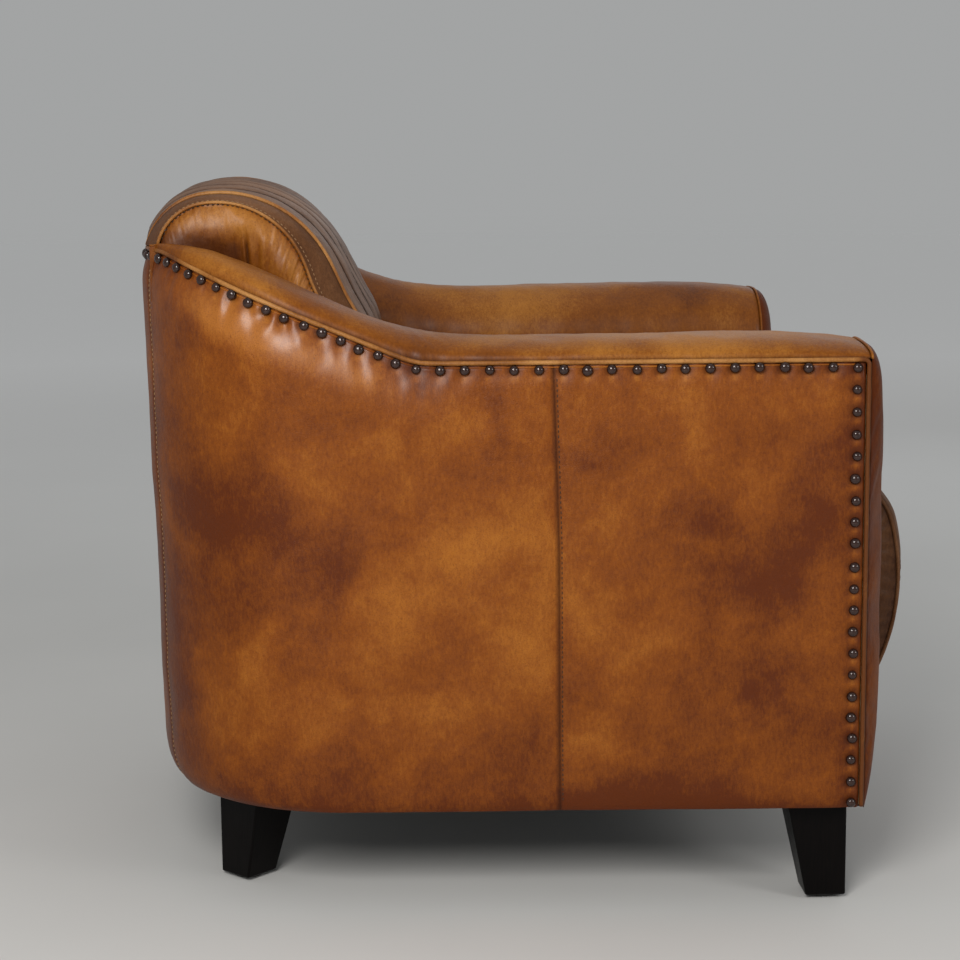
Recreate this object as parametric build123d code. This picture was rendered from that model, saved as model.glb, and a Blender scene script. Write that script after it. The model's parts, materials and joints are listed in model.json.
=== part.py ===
from build123d import *
import math
import os

os.makedirs("parts", exist_ok=True)

# Sizes in millimetres and degrees. The chair faces -Y, +X is the sitter's left, the floor is z = 0.
# Tub outline, seen from above
half_width = 400.0
flare_angle = 3.1
corner_radius = 190.0
arm_front_y = -350.0
rear_hem_y = 407.0
rear_lean = 1.05
hem_tuck = 20.0
tuck_height = 50.0
# Heights
hem_z = 112.0
frame_z = 114.0
arm_seam_z = 599.3
rim_seam_z = 711.5
kink_y = 122.5
climb_end_y = 395.0
crest_rise = 23.7
crest_lead = 6.0
crest_fall_y = 335.0
crest_end_rise = 7.0
arm_front_drop = 8.0
arm_drop_y = -255.0
# Layers of the outside, from the leather inwards
clearance = 0.3
panel_thickness = 4.0
board_thickness = 3.5
front_seam_y = -22.0
rear_seam_gap = 39.0
# Arms
arm_width = 150.0
arm_roll = 68.0
arm_skirt = 30.0
arm_end_y = 384.0
arm_skin = 6.0
facing_bulge = 24.0
# Back cushion: a dome made of two arcs over a leaning front face
dome_y = 335.4
dome_z = 692.0
dome_radius = 79.6
front_arc_radius = 164.0
dome_split_angle = 101.5
back_lean = 11.0
back_end_y = 416.0
back_end_z = 714.9
back_low_z = 466.0
back_rib_count = 8
back_margin = 43.0
back_rib_height = 5.0
back_crown = 3.0
back_front_crown = 21.0
back_band_width = 27.0
back_side_drop = 11.0
back_front_drop = 27.0
back_side_end = 22.0
back_notch_y = 349.0
back_notch_z = 699.0
# Seat cushion: a bull nose in front of a level top
seat_top_z = 448.0
seat_nose_y = -424.0
seat_nose_z = 329.0
seat_nose_radius = 244.0
seat_top_radius = 75.0
seat_lip_y = -362.0
seat_lip_z = 207.0
seat_rear_y = 200.0
seat_rib_count = 9
seat_margin = 18.25
seat_rib_height = 7.0
seat_crown = 8.0
cushion_skin = 12.0
side_pad = 10.0
# Welts and nails
welt_radius = 2.8
welt_turn = 12.0
cushion_welt_radius = 2.8
stud_radius = 5.5
stud_height = 3.8
stud_pitch = 25.4
stud_column_pitch = 23.6
stud_climb_pitch = 21.3
stud_drop = 9.0
stud_front_setback = 12.0
stud_lift = 0.25
# Frame timber
block_height = 40.0
rail_thickness = 30.0
rail_height = 60.0
post_depth = 32.0
post_width = 50.0
arm_rail_thickness = 18.0
arm_rail_top_z = 581.0
arm_board_gap = 12.0
arm_rail_setback = 9.0
arm_board_thickness = 15.0
rear_post_width = 35.0
rear_post_depth = 28.0
rear_post_gap = 16.0
rear_post_top_z = 694.0
front_rail_top_z = 260.0
front_rail_thickness = 25.0
seat_rail_width = 25.0
seat_rail_height = 45.0
back_top_rail_height = 36.0
back_lower_rail_z = 300.0
back_lower_rail_height = 40.0
front_block_end_y = -270.0
# Springs and webbing
spring_count = 5
spring_margin = 58.0
spring_half_width = 25.0
spring_pitch = 32.0
spring_wire = 1.9
web_width = 50.0
web_thickness = 2.0
web_count = 4
web_low_z = 370.0
web_pitch = 80.0
# Legs
leg_top = 66.0
leg_bottom = 44.0
leg_edge = 2.5
front_leg_inset = 29.0
front_leg_setback = 9.0
rear_leg_gap = 55.0
rear_leg_setback = 59.0
glide_height = 4.0
glide_radius = 16.0
bolt_radius = 4.0
bolt_length = 66.0
tee_flange_radius = 11.0
tee_flange_height = 1.5
tee_barrel_radius = 5.4
tee_barrel_length = 12.0

flare = math.radians(flare_angle)
lean = math.radians(rear_lean)
frame_inset = panel_thickness + board_thickness + 2 * clearance
frame_front_y = arm_front_y - welt_radius - clearance
block_top_z = frame_z + block_height
arm_cover_low_z = front_rail_top_z + clearance
climb_rate = (rim_seam_z - arm_seam_z) / (climb_end_y - kink_y)
arm_inner_x = half_width - arm_width
arm_board_x = arm_inner_x + arm_board_gap
back_rib_pitch = 2 * (arm_inner_x - back_margin) / back_rib_count
seat_rib_pitch = 2 * (arm_inner_x - seat_margin) / seat_rib_count
spring_spacing = 2 * (arm_inner_x - spring_margin) / (spring_count - 1)
front_leg_x = half_width - front_leg_inset
front_leg_y = arm_front_y + front_leg_setback
rear_leg_y = rear_hem_y - rear_leg_setback


def side_x(y, inset=0.0):
    # the straight flank at y, moved inward by the inset
    return half_width - (y - arm_front_y) * math.tan(flare) - inset / math.cos(flare)


# the back tucks under towards the hem: share of the tuck at shares of its height
tuck_steps = ((0.0, 1.0), (0.2, 0.47), (0.5, 0.16), (1.0, 0.0))


def tuck(z):
    share = min((z - hem_z) / tuck_height, 1.0)
    for (low, deep), (high, shallow) in zip(tuck_steps, tuck_steps[1:]):
        if share <= high:
            return hem_tuck * (deep + (share - low) / (high - low) * (shallow - deep))
    return 0.0


def rear_y(z, inset=0.0):
    return rear_hem_y + (z - hem_z) * math.tan(lean) - tuck(z) - inset


def corner_centre(z):
    y = rear_y(z) - corner_radius
    return side_x(y, corner_radius), y


# where the rounded rear corner meets the back, at the hem
turn_x = round(side_x(rear_hem_y - corner_radius, corner_radius), 1)
rear_seam_x = turn_x + rear_seam_gap
rear_post_x = turn_x + rear_post_gap
rear_leg_x = turn_x + rear_leg_gap


def outline_x(y, z, inset=0.0):
    # half width of the tub at y: the flank, then the rounded rear corner
    cx, cy = corner_centre(z)
    if y <= cy + corner_radius * math.sin(flare):
        return side_x(y, inset)
    radius = corner_radius - inset
    return cx + math.sqrt(max(radius**2 - (y - cy) ** 2, 0.0))


def climb(y):
    # how far the arm line has risen above its level part at y
    return climb_rate * (min(max(y, kink_y), climb_end_y) - kink_y)


def crest_height(y):
    # the crest of the arm: level, dipping to the arm front, and climbing a little before the welt does
    dip = arm_front_drop * max(0.0, (arm_drop_y - y) / (arm_drop_y - arm_front_y))
    early = climb_rate * (min(max(y, kink_y - crest_lead), climb_end_y) - kink_y + crest_lead)
    fall = (crest_rise - crest_end_rise) * max(0.0, (y - crest_fall_y) / (climb_end_y - crest_fall_y))
    return arm_seam_z + crest_rise + early - dip - fall


def flip(point):
    return (-point[0], point[1])


def mirrored(shape):
    return mirror(shape, about=Plane.YZ)


def block(x0, x1, y0, y1, z0, z1):
    middle = ((x0 + x1) / 2, (y0 + y1) / 2, (z0 + z1) / 2)
    return Pos(*middle) * Box(x1 - x0, y1 - y0, z1 - z0)


def rod(x, y, z0, z1, radius):
    return Pos(x, y, (z0 + z1) / 2) * Cylinder(radius, z1 - z0)


def side_profile(points, x0, x1):
    # a flat outline in the side view, given as (y, z), made solid from x0 to x1
    face = Plane.YZ.offset(x0) * make_face(Polyline(*points, close=True))
    return extrude(face, amount=x1 - x0, dir=(1, 0, 0))


def plan_solid(points, z0, z1):
    face = Pos(0, 0, z0) * make_face(Polyline(*points, close=True))
    return extrude(face, amount=z1 - z0, dir=(0, 0, 1))


def flank_strip(y0, y1, inset0, inset1, z0, z1):
    # a bar that follows the slanted flank on the +X side
    corners = [
        (side_x(y0, inset0), y0),
        (side_x(y1, inset0), y1),
        (side_x(y1, inset1), y1),
        (side_x(y0, inset1), y0),
    ]
    return plan_solid(corners, z0, z1)


def tub_face(z, inset, front_y):
    cx, cy = corner_centre(z)
    radius = corner_radius - inset

    def on_corner(angle):
        return (cx + radius * math.cos(angle), cy + radius * math.sin(angle))

    start = (side_x(front_y, inset), front_y)
    first = on_corner(flare)
    middle = on_corner((flare + math.pi / 2) / 2)
    last = on_corner(math.pi / 2)
    edges = [
        Line(start, first),
        ThreePointArc(first, middle, last),
        Line(last, flip(last)),
        ThreePointArc(flip(last), flip(middle), flip(first)),
        Line(flip(first), flip(start)),
        Line(flip(start), start),
    ]
    return Pos(0, 0, z) * make_face(edges)


def tub_block(inset, z0, z1, front_y):
    # lofted straight from level to level, with a level at each bend of the tuck
    bends = [hem_z + share * tuck_height for share, deep in tuck_steps]
    levels = [z0] + [z for z in bends if z0 + 1 < z < z1 - 1] + [z1]
    return loft([tub_face(z, inset, front_y) for z in levels], ruled=True)


def tub_wall(inset0, inset1, z0, z1, front_y):
    outside = tub_block(inset0, z0, z1, front_y)
    return outside - tub_block(inset1, z0 - 10, z1 + 10, front_y - 50)


def below_rim(drop, front_y):
    # everything under the rim line, lowered square to the line by the drop, with its front corner rounded
    steep = drop * math.hypot(1.0, climb_rate)
    shift = (steep - drop) / climb_rate
    reach = half_width + 100
    corner = (front_y, arm_seam_z - drop)
    line = [
        (front_y, 0),
        corner,
        (kink_y + shift, arm_seam_z - drop),
        (climb_end_y + shift, rim_seam_z - drop),
        (rear_hem_y + 100, rim_seam_z - drop),
        (rear_hem_y + 100, 0),
    ]
    face = make_face(Polyline(*line, close=True))
    sharp = face.vertices().sort_by_distance((*corner, 0))[0]
    face = Plane.YZ.offset(-reach) * fillet(sharp, welt_turn)
    return extrude(face, amount=2 * reach, dir=(1, 0, 0))


# Frame
front_blocks = []
for turn in (1, -1):
    corners = [
        (arm_board_x, frame_front_y),
        (side_x(frame_front_y, frame_inset), frame_front_y),
        (side_x(front_block_end_y, frame_inset), front_block_end_y),
        (arm_board_x, front_block_end_y),
    ]
    front_blocks.append(plan_solid([(turn * x, y) for x, y in corners], frame_z, block_top_z))
rear_block_y = rear_hem_y - corner_radius - 2
rear_block_x = turn_x + 1
inner_tub = tub_block(frame_inset, frame_z, rim_seam_z, frame_front_y)
rear_zone = block(rear_block_x, half_width, rear_block_y, rear_hem_y, frame_z, block_top_z)
rear_block = inner_tub & rear_zone
rear_blocks = [rear_block, mirrored(rear_block)]

leg_centres = []
for turn in (1, -1):
    leg_centres.append((turn * (front_leg_x - leg_top / 2), front_leg_y + leg_top / 2))
    leg_centres.append((turn * rear_leg_x, rear_leg_y - leg_top / math.sqrt(2)))
tee_holes = [rod(x, y, frame_z - 1, block_top_z + 1, tee_barrel_radius + clearance) for x, y in leg_centres]
corner_blocks = [b - tee_holes for b in front_blocks + rear_blocks]

front_rail = block(
    -arm_board_x + clearance,
    arm_board_x - clearance,
    frame_front_y,
    frame_front_y + front_rail_thickness,
    frame_z,
    front_rail_top_z,
)
rear_rail = block(
    -rear_block_x + clearance,
    rear_block_x - clearance,
    rear_y(frame_z, frame_inset) - rail_thickness,
    rear_y(frame_z, frame_inset),
    frame_z,
    frame_z + rail_height,
)
side_rail = flank_strip(
    front_block_end_y + clearance,
    rear_block_y - clearance,
    frame_inset,
    frame_inset + rail_thickness,
    frame_z,
    frame_z + rail_height,
)
arm_rail_low_z = arm_rail_top_z - arm_rail_thickness
front_post = flank_strip(
    frame_front_y,
    frame_front_y + post_depth,
    frame_inset,
    frame_inset + post_width,
    block_top_z,
    arm_rail_low_z,
)
arm_rail = plan_solid(
    [
        (arm_board_x + arm_rail_setback, frame_front_y),
        (side_x(frame_front_y, frame_inset), frame_front_y),
        (side_x(kink_y, frame_inset), kink_y - clearance),
        (arm_board_x + arm_rail_setback, kink_y - clearance),
    ],
    arm_rail_low_z,
    arm_rail_top_z,
)
slope_end_y = back_notch_y - 4
slope_low_z = arm_rail_low_z + climb(slope_end_y)
arm_board = side_profile(
    [
        (frame_front_y, block_top_z),
        (slope_end_y, block_top_z),
        (slope_end_y, slope_low_z),
        (kink_y, arm_rail_low_z),
        (frame_front_y, arm_rail_low_z),
    ],
    arm_board_x,
    arm_board_x + arm_board_thickness,
)
slope_rail = inner_tub & side_profile(
    [
        (kink_y, arm_rail_low_z),
        (slope_end_y, slope_low_z),
        (slope_end_y, slope_low_z + arm_rail_thickness),
        (kink_y, arm_rail_top_z),
    ],
    arm_board_x,
    half_width,
)
post_front_y = back_notch_y + web_thickness + 2 * clearance
rear_post = inner_tub & block(
    rear_post_x,
    rear_post_x + rear_post_width,
    post_front_y,
    post_front_y + rear_post_depth,
    block_top_z,
    rear_post_top_z,
)


def back_rail(z0, z1):
    x = rear_post_x - clearance
    return block(-x, x, post_front_y, post_front_y + rear_post_depth, z0, z1)


back_top_rail = back_rail(rear_post_top_z - back_top_rail_height, rear_post_top_z)
back_lower_rail = back_rail(back_lower_rail_z, back_lower_rail_z + back_lower_rail_height)
seat_rail_x = arm_board_x - clearance
seat_rear_rail = block(
    -seat_rail_x,
    seat_rail_x,
    seat_rear_y + 3,
    seat_rear_y + 3 + seat_rail_width,
    front_rail_top_z - seat_rail_height,
    front_rail_top_z,
)

# Springs, webbing and sheets
wire_z = front_rail_top_z + spring_wire + 1.4
spring_y0 = frame_front_y + 12
spring_y1 = seat_rear_y + 3 + seat_rail_width / 2
run_count = max(3, 2 * int((spring_y1 - spring_y0) / spring_pitch / 2) + 1)
run_step = (spring_y1 - spring_y0) / run_count
zigzag = []
for run in range(run_count + 1):
    near = spring_half_width if run % 2 else -spring_half_width
    zigzag.append((near, spring_y0 + run * run_step))
    zigzag.append((-near, spring_y0 + run * run_step))
spring_path = FilletPolyline(*zigzag, radius=run_step * 0.42)
spring_plan = make_face(offset(spring_path, amount=spring_wire, side=Side.BOTH))
one_spring = extrude(Pos(0, 0, wire_z - spring_wire) * spring_plan, amount=2 * spring_wire, dir=(0, 0, 1))
spring_places = [(i - (spring_count - 1) / 2) * spring_spacing for i in range(spring_count)]
seat_springs = [Pos(x, 0, 0) * one_spring for x in spring_places]

clip_low = front_rail_top_z
clip_high = wire_z + spring_wire + 1.4


def spring_clip(x, y, turn):
    body = block(x - 12, x + 12, y - 7, y + 7, clip_low, clip_high)
    slot_low = wire_z - spring_wire - clearance
    slot_high = wire_z + spring_wire + clearance
    ends = sorted((y - turn * 5, y + turn * 20))
    return body - block(x - 20, x + 20, ends[0], ends[1], slot_low, slot_high)


spring_clips = [spring_clip(x, spring_y0, 1) for x in spring_places]
spring_clips += [spring_clip(x, spring_y1, -1) for x in spring_places]

seat_floor_z = clip_high + 0.4
hessian_top_z = seat_floor_z + 1.2
seat_hessian = block(-arm_inner_x + 10, arm_inner_x - 10, spring_y0, seat_rear_y, seat_floor_z, hessian_top_z)
web_x = rear_post_x + rear_post_width - 4
web_rows = [web_low_z + row * web_pitch for row in range(web_count)]
back_webbing = [
    block(-web_x, web_x, back_notch_y + clearance, post_front_y - clearance, z - web_width / 2, z + web_width / 2)
    for z in web_rows
]

# Boards and leather of the outside
board_inset = panel_thickness + clearance
panel_drop = welt_radius + clearance
panel_front_y = arm_front_y + welt_radius + clearance
top_z = rim_seam_z + corner_radius / 10
leather_wall = tub_wall(0, panel_thickness, hem_z, top_z, panel_front_y)
leather_wall = leather_wall & below_rim(panel_drop, panel_front_y)
board_wall = tub_wall(board_inset, board_inset + board_thickness, frame_z, top_z, panel_front_y)
board_wall = board_wall & below_rim(panel_drop + 8, panel_front_y)
far = half_width + corner_radius / 4
back_zone = block(-rear_seam_x + clearance, rear_seam_x - clearance, rear_block_y, 2 * far, 0, 2 * top_z)
side_zone = block(rear_seam_x, far, -far, 2 * far, 0, 2 * top_z)
fore_zone = block(rear_seam_x, far, -far, front_seam_y - clearance, 0, 2 * top_z)
aft_zone = block(rear_seam_x, far, front_seam_y, 2 * far, 0, 2 * top_z)
outside_back_panel = leather_wall & back_zone
back_board = board_wall & back_zone
side_board = board_wall & side_zone
side_front_panel = leather_wall & fore_zone
side_rear_panel = leather_wall & aft_zone

apron_back_y = frame_front_y - clearance
front_apron = block(
    -arm_inner_x + 1,
    arm_inner_x - 1,
    apron_back_y - panel_thickness,
    apron_back_y,
    hem_z,
    seat_lip_z - 1,
)


# Arm covers and pads, lofted through cross sections along the arm
bend_y = corner_centre(arm_seam_z)[1]


def arm_station(y):
    rise = climb(y)
    seam_z = arm_seam_z + rise
    outer_x = outline_x(y, seam_z) - 0.5
    roll = min(arm_roll, 0.5 * (outer_x - arm_inner_x))
    return seam_z, outer_x, roll


def arm_top(outer, crest, inner):
    # from the welt over the crest and round to the upright inside face
    over = TangentArc(crest, outer, tangent=(1, 0))
    roll = TangentArc(crest, inner, tangent=(-1, 0))
    return over, roll


def arm_ring(y):
    seam_z, outer_x, roll = arm_station(y)
    start_z = seam_z + panel_drop
    crest_z = crest_height(y)
    crest_x = arm_inner_x + roll
    skin = arm_skin
    outer = (outer_x, start_z)
    crest = (crest_x, crest_z)
    inner = (arm_inner_x, crest_z - roll)
    foot_z = arm_cover_low_z if y <= bend_y else crest_z - roll - arm_skirt
    foot = (arm_inner_x, foot_z)
    outer_in = (outer_x - skin, start_z)
    crest_in = (crest_x, crest_z - skin)
    inner_in = (arm_inner_x + skin, crest_z - roll)
    foot_in = (arm_inner_x + skin, foot_z)
    over, roll_arc = arm_top(outer, crest, inner)
    over_in, roll_in = arm_top(outer_in, crest_in, inner_in)
    edges = [over, roll_arc, Line(inner, foot), Line(foot, foot_in), Line(foot_in, inner_in)]
    edges += [roll_in, over_in, Line(outer_in, outer)]
    return Plane.XZ.offset(-y) * make_face(edges)


def arm_core(y):
    seam_z, outer_x, roll = arm_station(y)
    skin = arm_skin + clearance
    floor_z = arm_rail_top_z + climb(y) + clearance
    outer = (outer_x - skin - welt_radius, seam_z + panel_drop)
    crest = (arm_inner_x + roll, crest_height(y) - skin)
    bend = roll - skin
    bend_z = crest_height(y) - roll
    inner_z = max(bend_z, floor_z + 2)
    inner_x = crest[0] - math.sqrt(bend**2 - (inner_z - bend_z) ** 2)
    inner = (inner_x, inner_z)
    over, roll_arc = arm_top(outer, crest, inner)
    low_out = (outer[0] - 2, floor_z)
    low_in = (inner_x, floor_z)
    edges = [over, roll_arc, Line(inner, low_in), Line(low_in, low_out), Line(low_out, outer)]
    return Plane.XZ.offset(-y) * make_face(edges)


arm_bends = [arm_drop_y, kink_y - crest_lead, kink_y, bend_y]
arm_stations = [frame_front_y + 0.1] + arm_bends + [bend_y + 55, crest_fall_y, arm_end_y]
arm_cover = loft([arm_ring(y) for y in arm_stations], ruled=True)
arm_foam = loft([arm_core(y) for y in [frame_front_y + 0.4] + arm_stations[1:6]], ruled=True)


# Arm facing: a pillow closing the front end of the arm
def facing_face(y, inset, low_inset):
    seam_z, outer_x, roll = arm_station(arm_front_y)
    top_z = crest_height(arm_front_y)
    crest = (arm_inner_x + roll, top_z - inset * 0.7)
    outer = (outer_x - inset, seam_z - inset)
    inner = (arm_inner_x + inset, top_z - roll)
    low_out = (outer_x - inset, hem_z + low_inset)
    low_in = (arm_inner_x + inset, hem_z + low_inset)
    over, roll_arc = arm_top(outer, crest, inner)
    edges = [over, roll_arc, Line(inner, low_in), Line(low_in, low_out), Line(low_out, outer)]
    return Plane.XZ.offset(-y) * make_face(edges)


facing_y = frame_front_y - clearance
facing_steps = [(0, 0, 0), (0.25, 4, 30), (0.5, 14, 65), (0.75, 36, 115), (1.0, 62, 170)]
arm_facing = loft([facing_face(facing_y - facing_bulge * s, i, low) for s, i, low in facing_steps], ruled=True)


# Back cushion
split = math.radians(dome_split_angle)
slant = math.radians(back_lean)
up = (math.cos(split), math.sin(split))
ahead = (-math.cos(slant), math.sin(slant))
square = up[0] * ahead[0] + up[1] * ahead[1]


def back_points(top_lift, front_lift):
    # joint of the two arcs, start of the front arc and the foot of the leaning face
    top = (dome_y + (dome_radius + top_lift) * up[0], dome_z + (dome_radius + top_lift) * up[1])
    radius = front_arc_radius + (front_lift - top_lift * square) / (1 - square)
    cy = top[0] - radius * up[0]
    cz = top[1] - radius * up[1]
    front = (cy + radius * ahead[0], cz + radius * ahead[1])
    foot = (front[0] - (front[1] - back_low_z) * math.tan(slant), back_low_z)
    return top, front, foot


def back_curve(top_lift, front_lift, end):
    top, front, foot = back_points(top_lift, front_lift)
    along = (up[1], -up[0])
    rear = TangentArc(top, end, tangent=along)
    fore = TangentArc(top, front, tangent=(-along[0], -along[1]))
    return Line(foot, front), fore, rear, foot, end


def back_end(inset):
    return (back_end_y - inset, back_end_z)


def back_layer(x, top_lift, front_lift, inner_top, inner_front, end_inset=0.0):
    face, fore, rear, foot, end = back_curve(top_lift, front_lift, back_end(end_inset))
    deep = back_end(end_inset + cushion_skin)
    face_in, fore_in, rear_in, foot_in, end_in = back_curve(inner_top, inner_front, deep)
    edges = [face, fore, rear, Line(end, end_in), rear_in, fore_in, face_in, Line(foot_in, foot)]
    return Plane.YZ.offset(x) * make_face(edges)


def back_block(x, top_lift, front_lift, end_inset):
    face, fore, rear, foot, end = back_curve(top_lift, front_lift, back_end(end_inset))
    edges = [face, fore, rear, Line(end, (end[0], back_notch_z)), Line((end[0], back_notch_z), (back_notch_y, back_notch_z))]
    edges += [Line((back_notch_y, back_notch_z), (back_notch_y, back_low_z)), Line((back_notch_y, back_low_z), foot)]
    return Plane.YZ.offset(x) * make_face(edges)


def rib_rows(count, pitch, height, crown):
    # (x, lift) across the ribs: five rows to a rib, on a gently crowned base
    half = count * pitch / 2
    rows = []
    for rib in range(count):
        for share, rise in ((0.0, 0.0), (0.18, 0.72), (0.5, 1.0), (0.82, 0.72)):
            rows.append(((rib + share) * pitch - half, rise * height))
    rows.append((half, 0.0))
    return [(x, lift + crown * (1 - (x / half) ** 2)) for x, lift in rows]


skin = cushion_skin
back_half = back_rib_count * back_rib_pitch / 2
back_rows = rib_rows(back_rib_count, back_rib_pitch, back_rib_height, back_crown)
back_swell = [(x, lift, lift + back_front_crown * (1 - (x / back_half) ** 2)) for x, lift in back_rows]
back_cover = loft([back_layer(x, top, front, -skin, -skin) for x, top, front in back_swell], ruled=True)
back_band_x = back_half + 2 * cushion_welt_radius + 2 * clearance
back_side_x = back_band_x + back_band_width
back_side_in = (-back_side_drop - skin, -back_front_drop - skin)
back_band = loft(
    [
        back_layer(back_band_x, 0, 0, -skin, -skin),
        back_layer(back_side_x, -back_side_drop, -back_front_drop, *back_side_in, end_inset=back_side_drop),
    ],
    ruled=True,
)
core = skin + clearance
core_side = (-back_side_drop - core, -back_front_drop - core, back_side_drop + core)
back_foam = loft(
    [
        back_block(-back_side_x, *core_side),
        back_block(-back_half, -core, -core, core),
        back_block(back_half, -core, -core, core),
        back_block(back_side_x, *core_side),
    ],
    ruled=True,
)
side_start = back_side_x + clearance
back_side = loft(
    [
        back_block(side_start, -back_side_drop, -back_front_drop, back_side_end),
        back_block(side_start + side_pad * 0.5, -back_side_drop - 3, -back_front_drop - 3, back_side_end + 3),
        back_block(side_start + side_pad * 0.7, -back_side_drop - 14, -back_front_drop - 14, back_side_end + 14),
    ],
    ruled=True,
)
back_welt_x = back_half + cushion_welt_radius + clearance
back_line = Wire([*back_curve(0, 0, back_end(cushion_welt_radius))[:3]])
back_path = Plane.YZ.offset(back_welt_x) * back_line


def cord(path, radius):
    start = Plane(origin=path @ 0, z_dir=path % 0)
    return sweep(start * Circle(radius), path=path)


back_welt = cord(back_path, cushion_welt_radius)

# Seat cushion
nose_centre = (seat_nose_y + seat_nose_radius, seat_nose_z)
lip_turn = math.radians(203)
drop_to_top = seat_top_z - seat_top_radius - nose_centre[1]
brow_reach = math.sqrt((seat_nose_radius - seat_top_radius) ** 2 - drop_to_top**2)
brow_centre = (nose_centre[0] - brow_reach, seat_top_z - seat_top_radius)
brow_turn = math.atan2(drop_to_top, -brow_reach)


def around(centre, radius, angle):
    return (centre[0] + radius * math.cos(angle), centre[1] + radius * math.sin(angle))


def seat_curve(lift, lip):
    radius = seat_nose_radius + lift
    chin = around(nose_centre, radius, lip_turn)
    middle = around(nose_centre, radius, (lip_turn + brow_turn) / 2)
    brow = around(nose_centre, radius, brow_turn)
    crest = (brow_centre[0], seat_top_z + lift)
    under = TangentArc(chin, lip, tangent=(-math.sin(lip_turn), math.cos(lip_turn)))
    nose = ThreePointArc(chin, middle, brow)
    over = TangentArc(crest, brow, tangent=(-1, 0))
    rear = (seat_rear_y, seat_top_z + lift)
    return under, nose, over, Line(crest, rear), rear


def seat_layer(x, lift):
    lip = (seat_lip_y, seat_lip_z)
    lip_in = (seat_lip_y, seat_lip_z + skin)
    under, nose, over, top, rear = seat_curve(lift, lip)
    under_in, nose_in, over_in, top_in, rear_in = seat_curve(-skin, lip_in)
    edges = [under, nose, over, top, Line(rear, rear_in), top_in, over_in, nose_in, under_in, Line(lip_in, lip)]
    return Plane.YZ.offset(x) * make_face(edges)


def seat_block(x, lift, lip_rise):
    lip = (seat_lip_y, seat_lip_z + lip_rise)
    under, nose, over, top, rear = seat_curve(lift, lip)
    step_y = seat_lip_y + 4
    corners = [rear, (seat_rear_y, hessian_top_z), (step_y, hessian_top_z), (step_y, lip[1]), lip]
    edges = [under, nose, over, top]
    edges += [Line(a, b) for a, b in zip(corners, corners[1:])]
    return Plane.YZ.offset(x) * make_face(edges)


seat_half = seat_rib_count * seat_rib_pitch / 2
seat_rows = rib_rows(seat_rib_count, seat_rib_pitch, seat_rib_height, seat_crown)
seat_cover = loft([seat_layer(x, lift) for x, lift in seat_rows], ruled=True)
seat_foam = loft([seat_block(-seat_half, -core, core), seat_block(seat_half, -core, core)], ruled=True)
seat_welt_x = seat_half + cushion_welt_radius + clearance
seat_side_x = seat_half + clearance
seat_pad_drop = cushion_welt_radius + clearance
seat_side = loft(
    [
        seat_block(seat_side_x, -seat_pad_drop, seat_pad_drop),
        seat_block(seat_side_x + side_pad, -seat_pad_drop - 3, seat_pad_drop + 3),
        seat_block(seat_side_x + side_pad * 1.5, -seat_pad_drop - 18, seat_pad_drop + 18),
    ],
    ruled=True,
)
seat_line = seat_curve(0, (seat_lip_y, seat_lip_z))
seat_path = Plane.YZ.offset(seat_welt_x) * Wire([*seat_line[:4]])
seat_welt = cord(seat_path, cushion_welt_radius)

# Welt along the arm facings, the arms and the rim
welt_inset = 1.0


def rim_point(y, turn=1):
    z = arm_seam_z + climb(y)
    return (turn * outline_x(y, z, welt_inset), y, z)


cx, cy = corner_centre(rim_seam_z)
corner_steps = [cy + (corner_radius - welt_inset) * math.sin(math.radians(a)) for a in (4, 15, 26, 37, 48, 58)]
front_line = [
    (side_x(arm_front_y, welt_inset), arm_front_y, hem_z + 3),
    rim_point(arm_front_y),
    rim_point(kink_y - 30),
]
climb_line = [rim_point(kink_y - 30 + clearance), rim_point(kink_y)]
climb_line += [rim_point(y) for y in corner_steps + [climb_end_y]]
rear_turn = [cx + (corner_radius - welt_inset) * math.cos(math.radians(a)) for a in (72, 81)]
for x in rear_turn:
    climb_line.append((x, cy + math.sqrt((corner_radius - welt_inset) ** 2 - (x - cx) ** 2), rim_seam_z))
welt_rear_y = rear_y(rim_seam_z, welt_inset)
climb_line.append((cx * 0.97, welt_rear_y, rim_seam_z))
climb_line.append((cx * 0.5, welt_rear_y, rim_seam_z))
arm_welt = cord(FilletPolyline(*front_line, radius=welt_turn + welt_radius), welt_radius)
climb_welt = cord(FilletPolyline(*climb_line, radius=14), welt_radius)
back_reach = cx * 0.5 - clearance
rim_back = cord(Wire([Line((-back_reach, welt_rear_y, rim_seam_z), (back_reach, welt_rear_y, rim_seam_z))]), welt_radius)
rim_welt = [arm_welt, mirrored(arm_welt), climb_welt, mirrored(climb_welt), rim_back]


# Domed nail heads, one row below the welt and one down each arm front
def stud_at(x, y, z, heading):
    ball = (stud_radius**2 + stud_height**2) / (2 * stud_height)
    dome = Pos(0, 0, stud_height - ball) * Sphere(ball)
    dome = dome & Pos(0, 0, stud_height / 2) * Cylinder(stud_radius + 1, stud_height)
    outward = (math.cos(heading), math.sin(heading), 0)
    return Plane(origin=(x, y, z), z_dir=outward, x_dir=(0, 0, 1)) * dome


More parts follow.
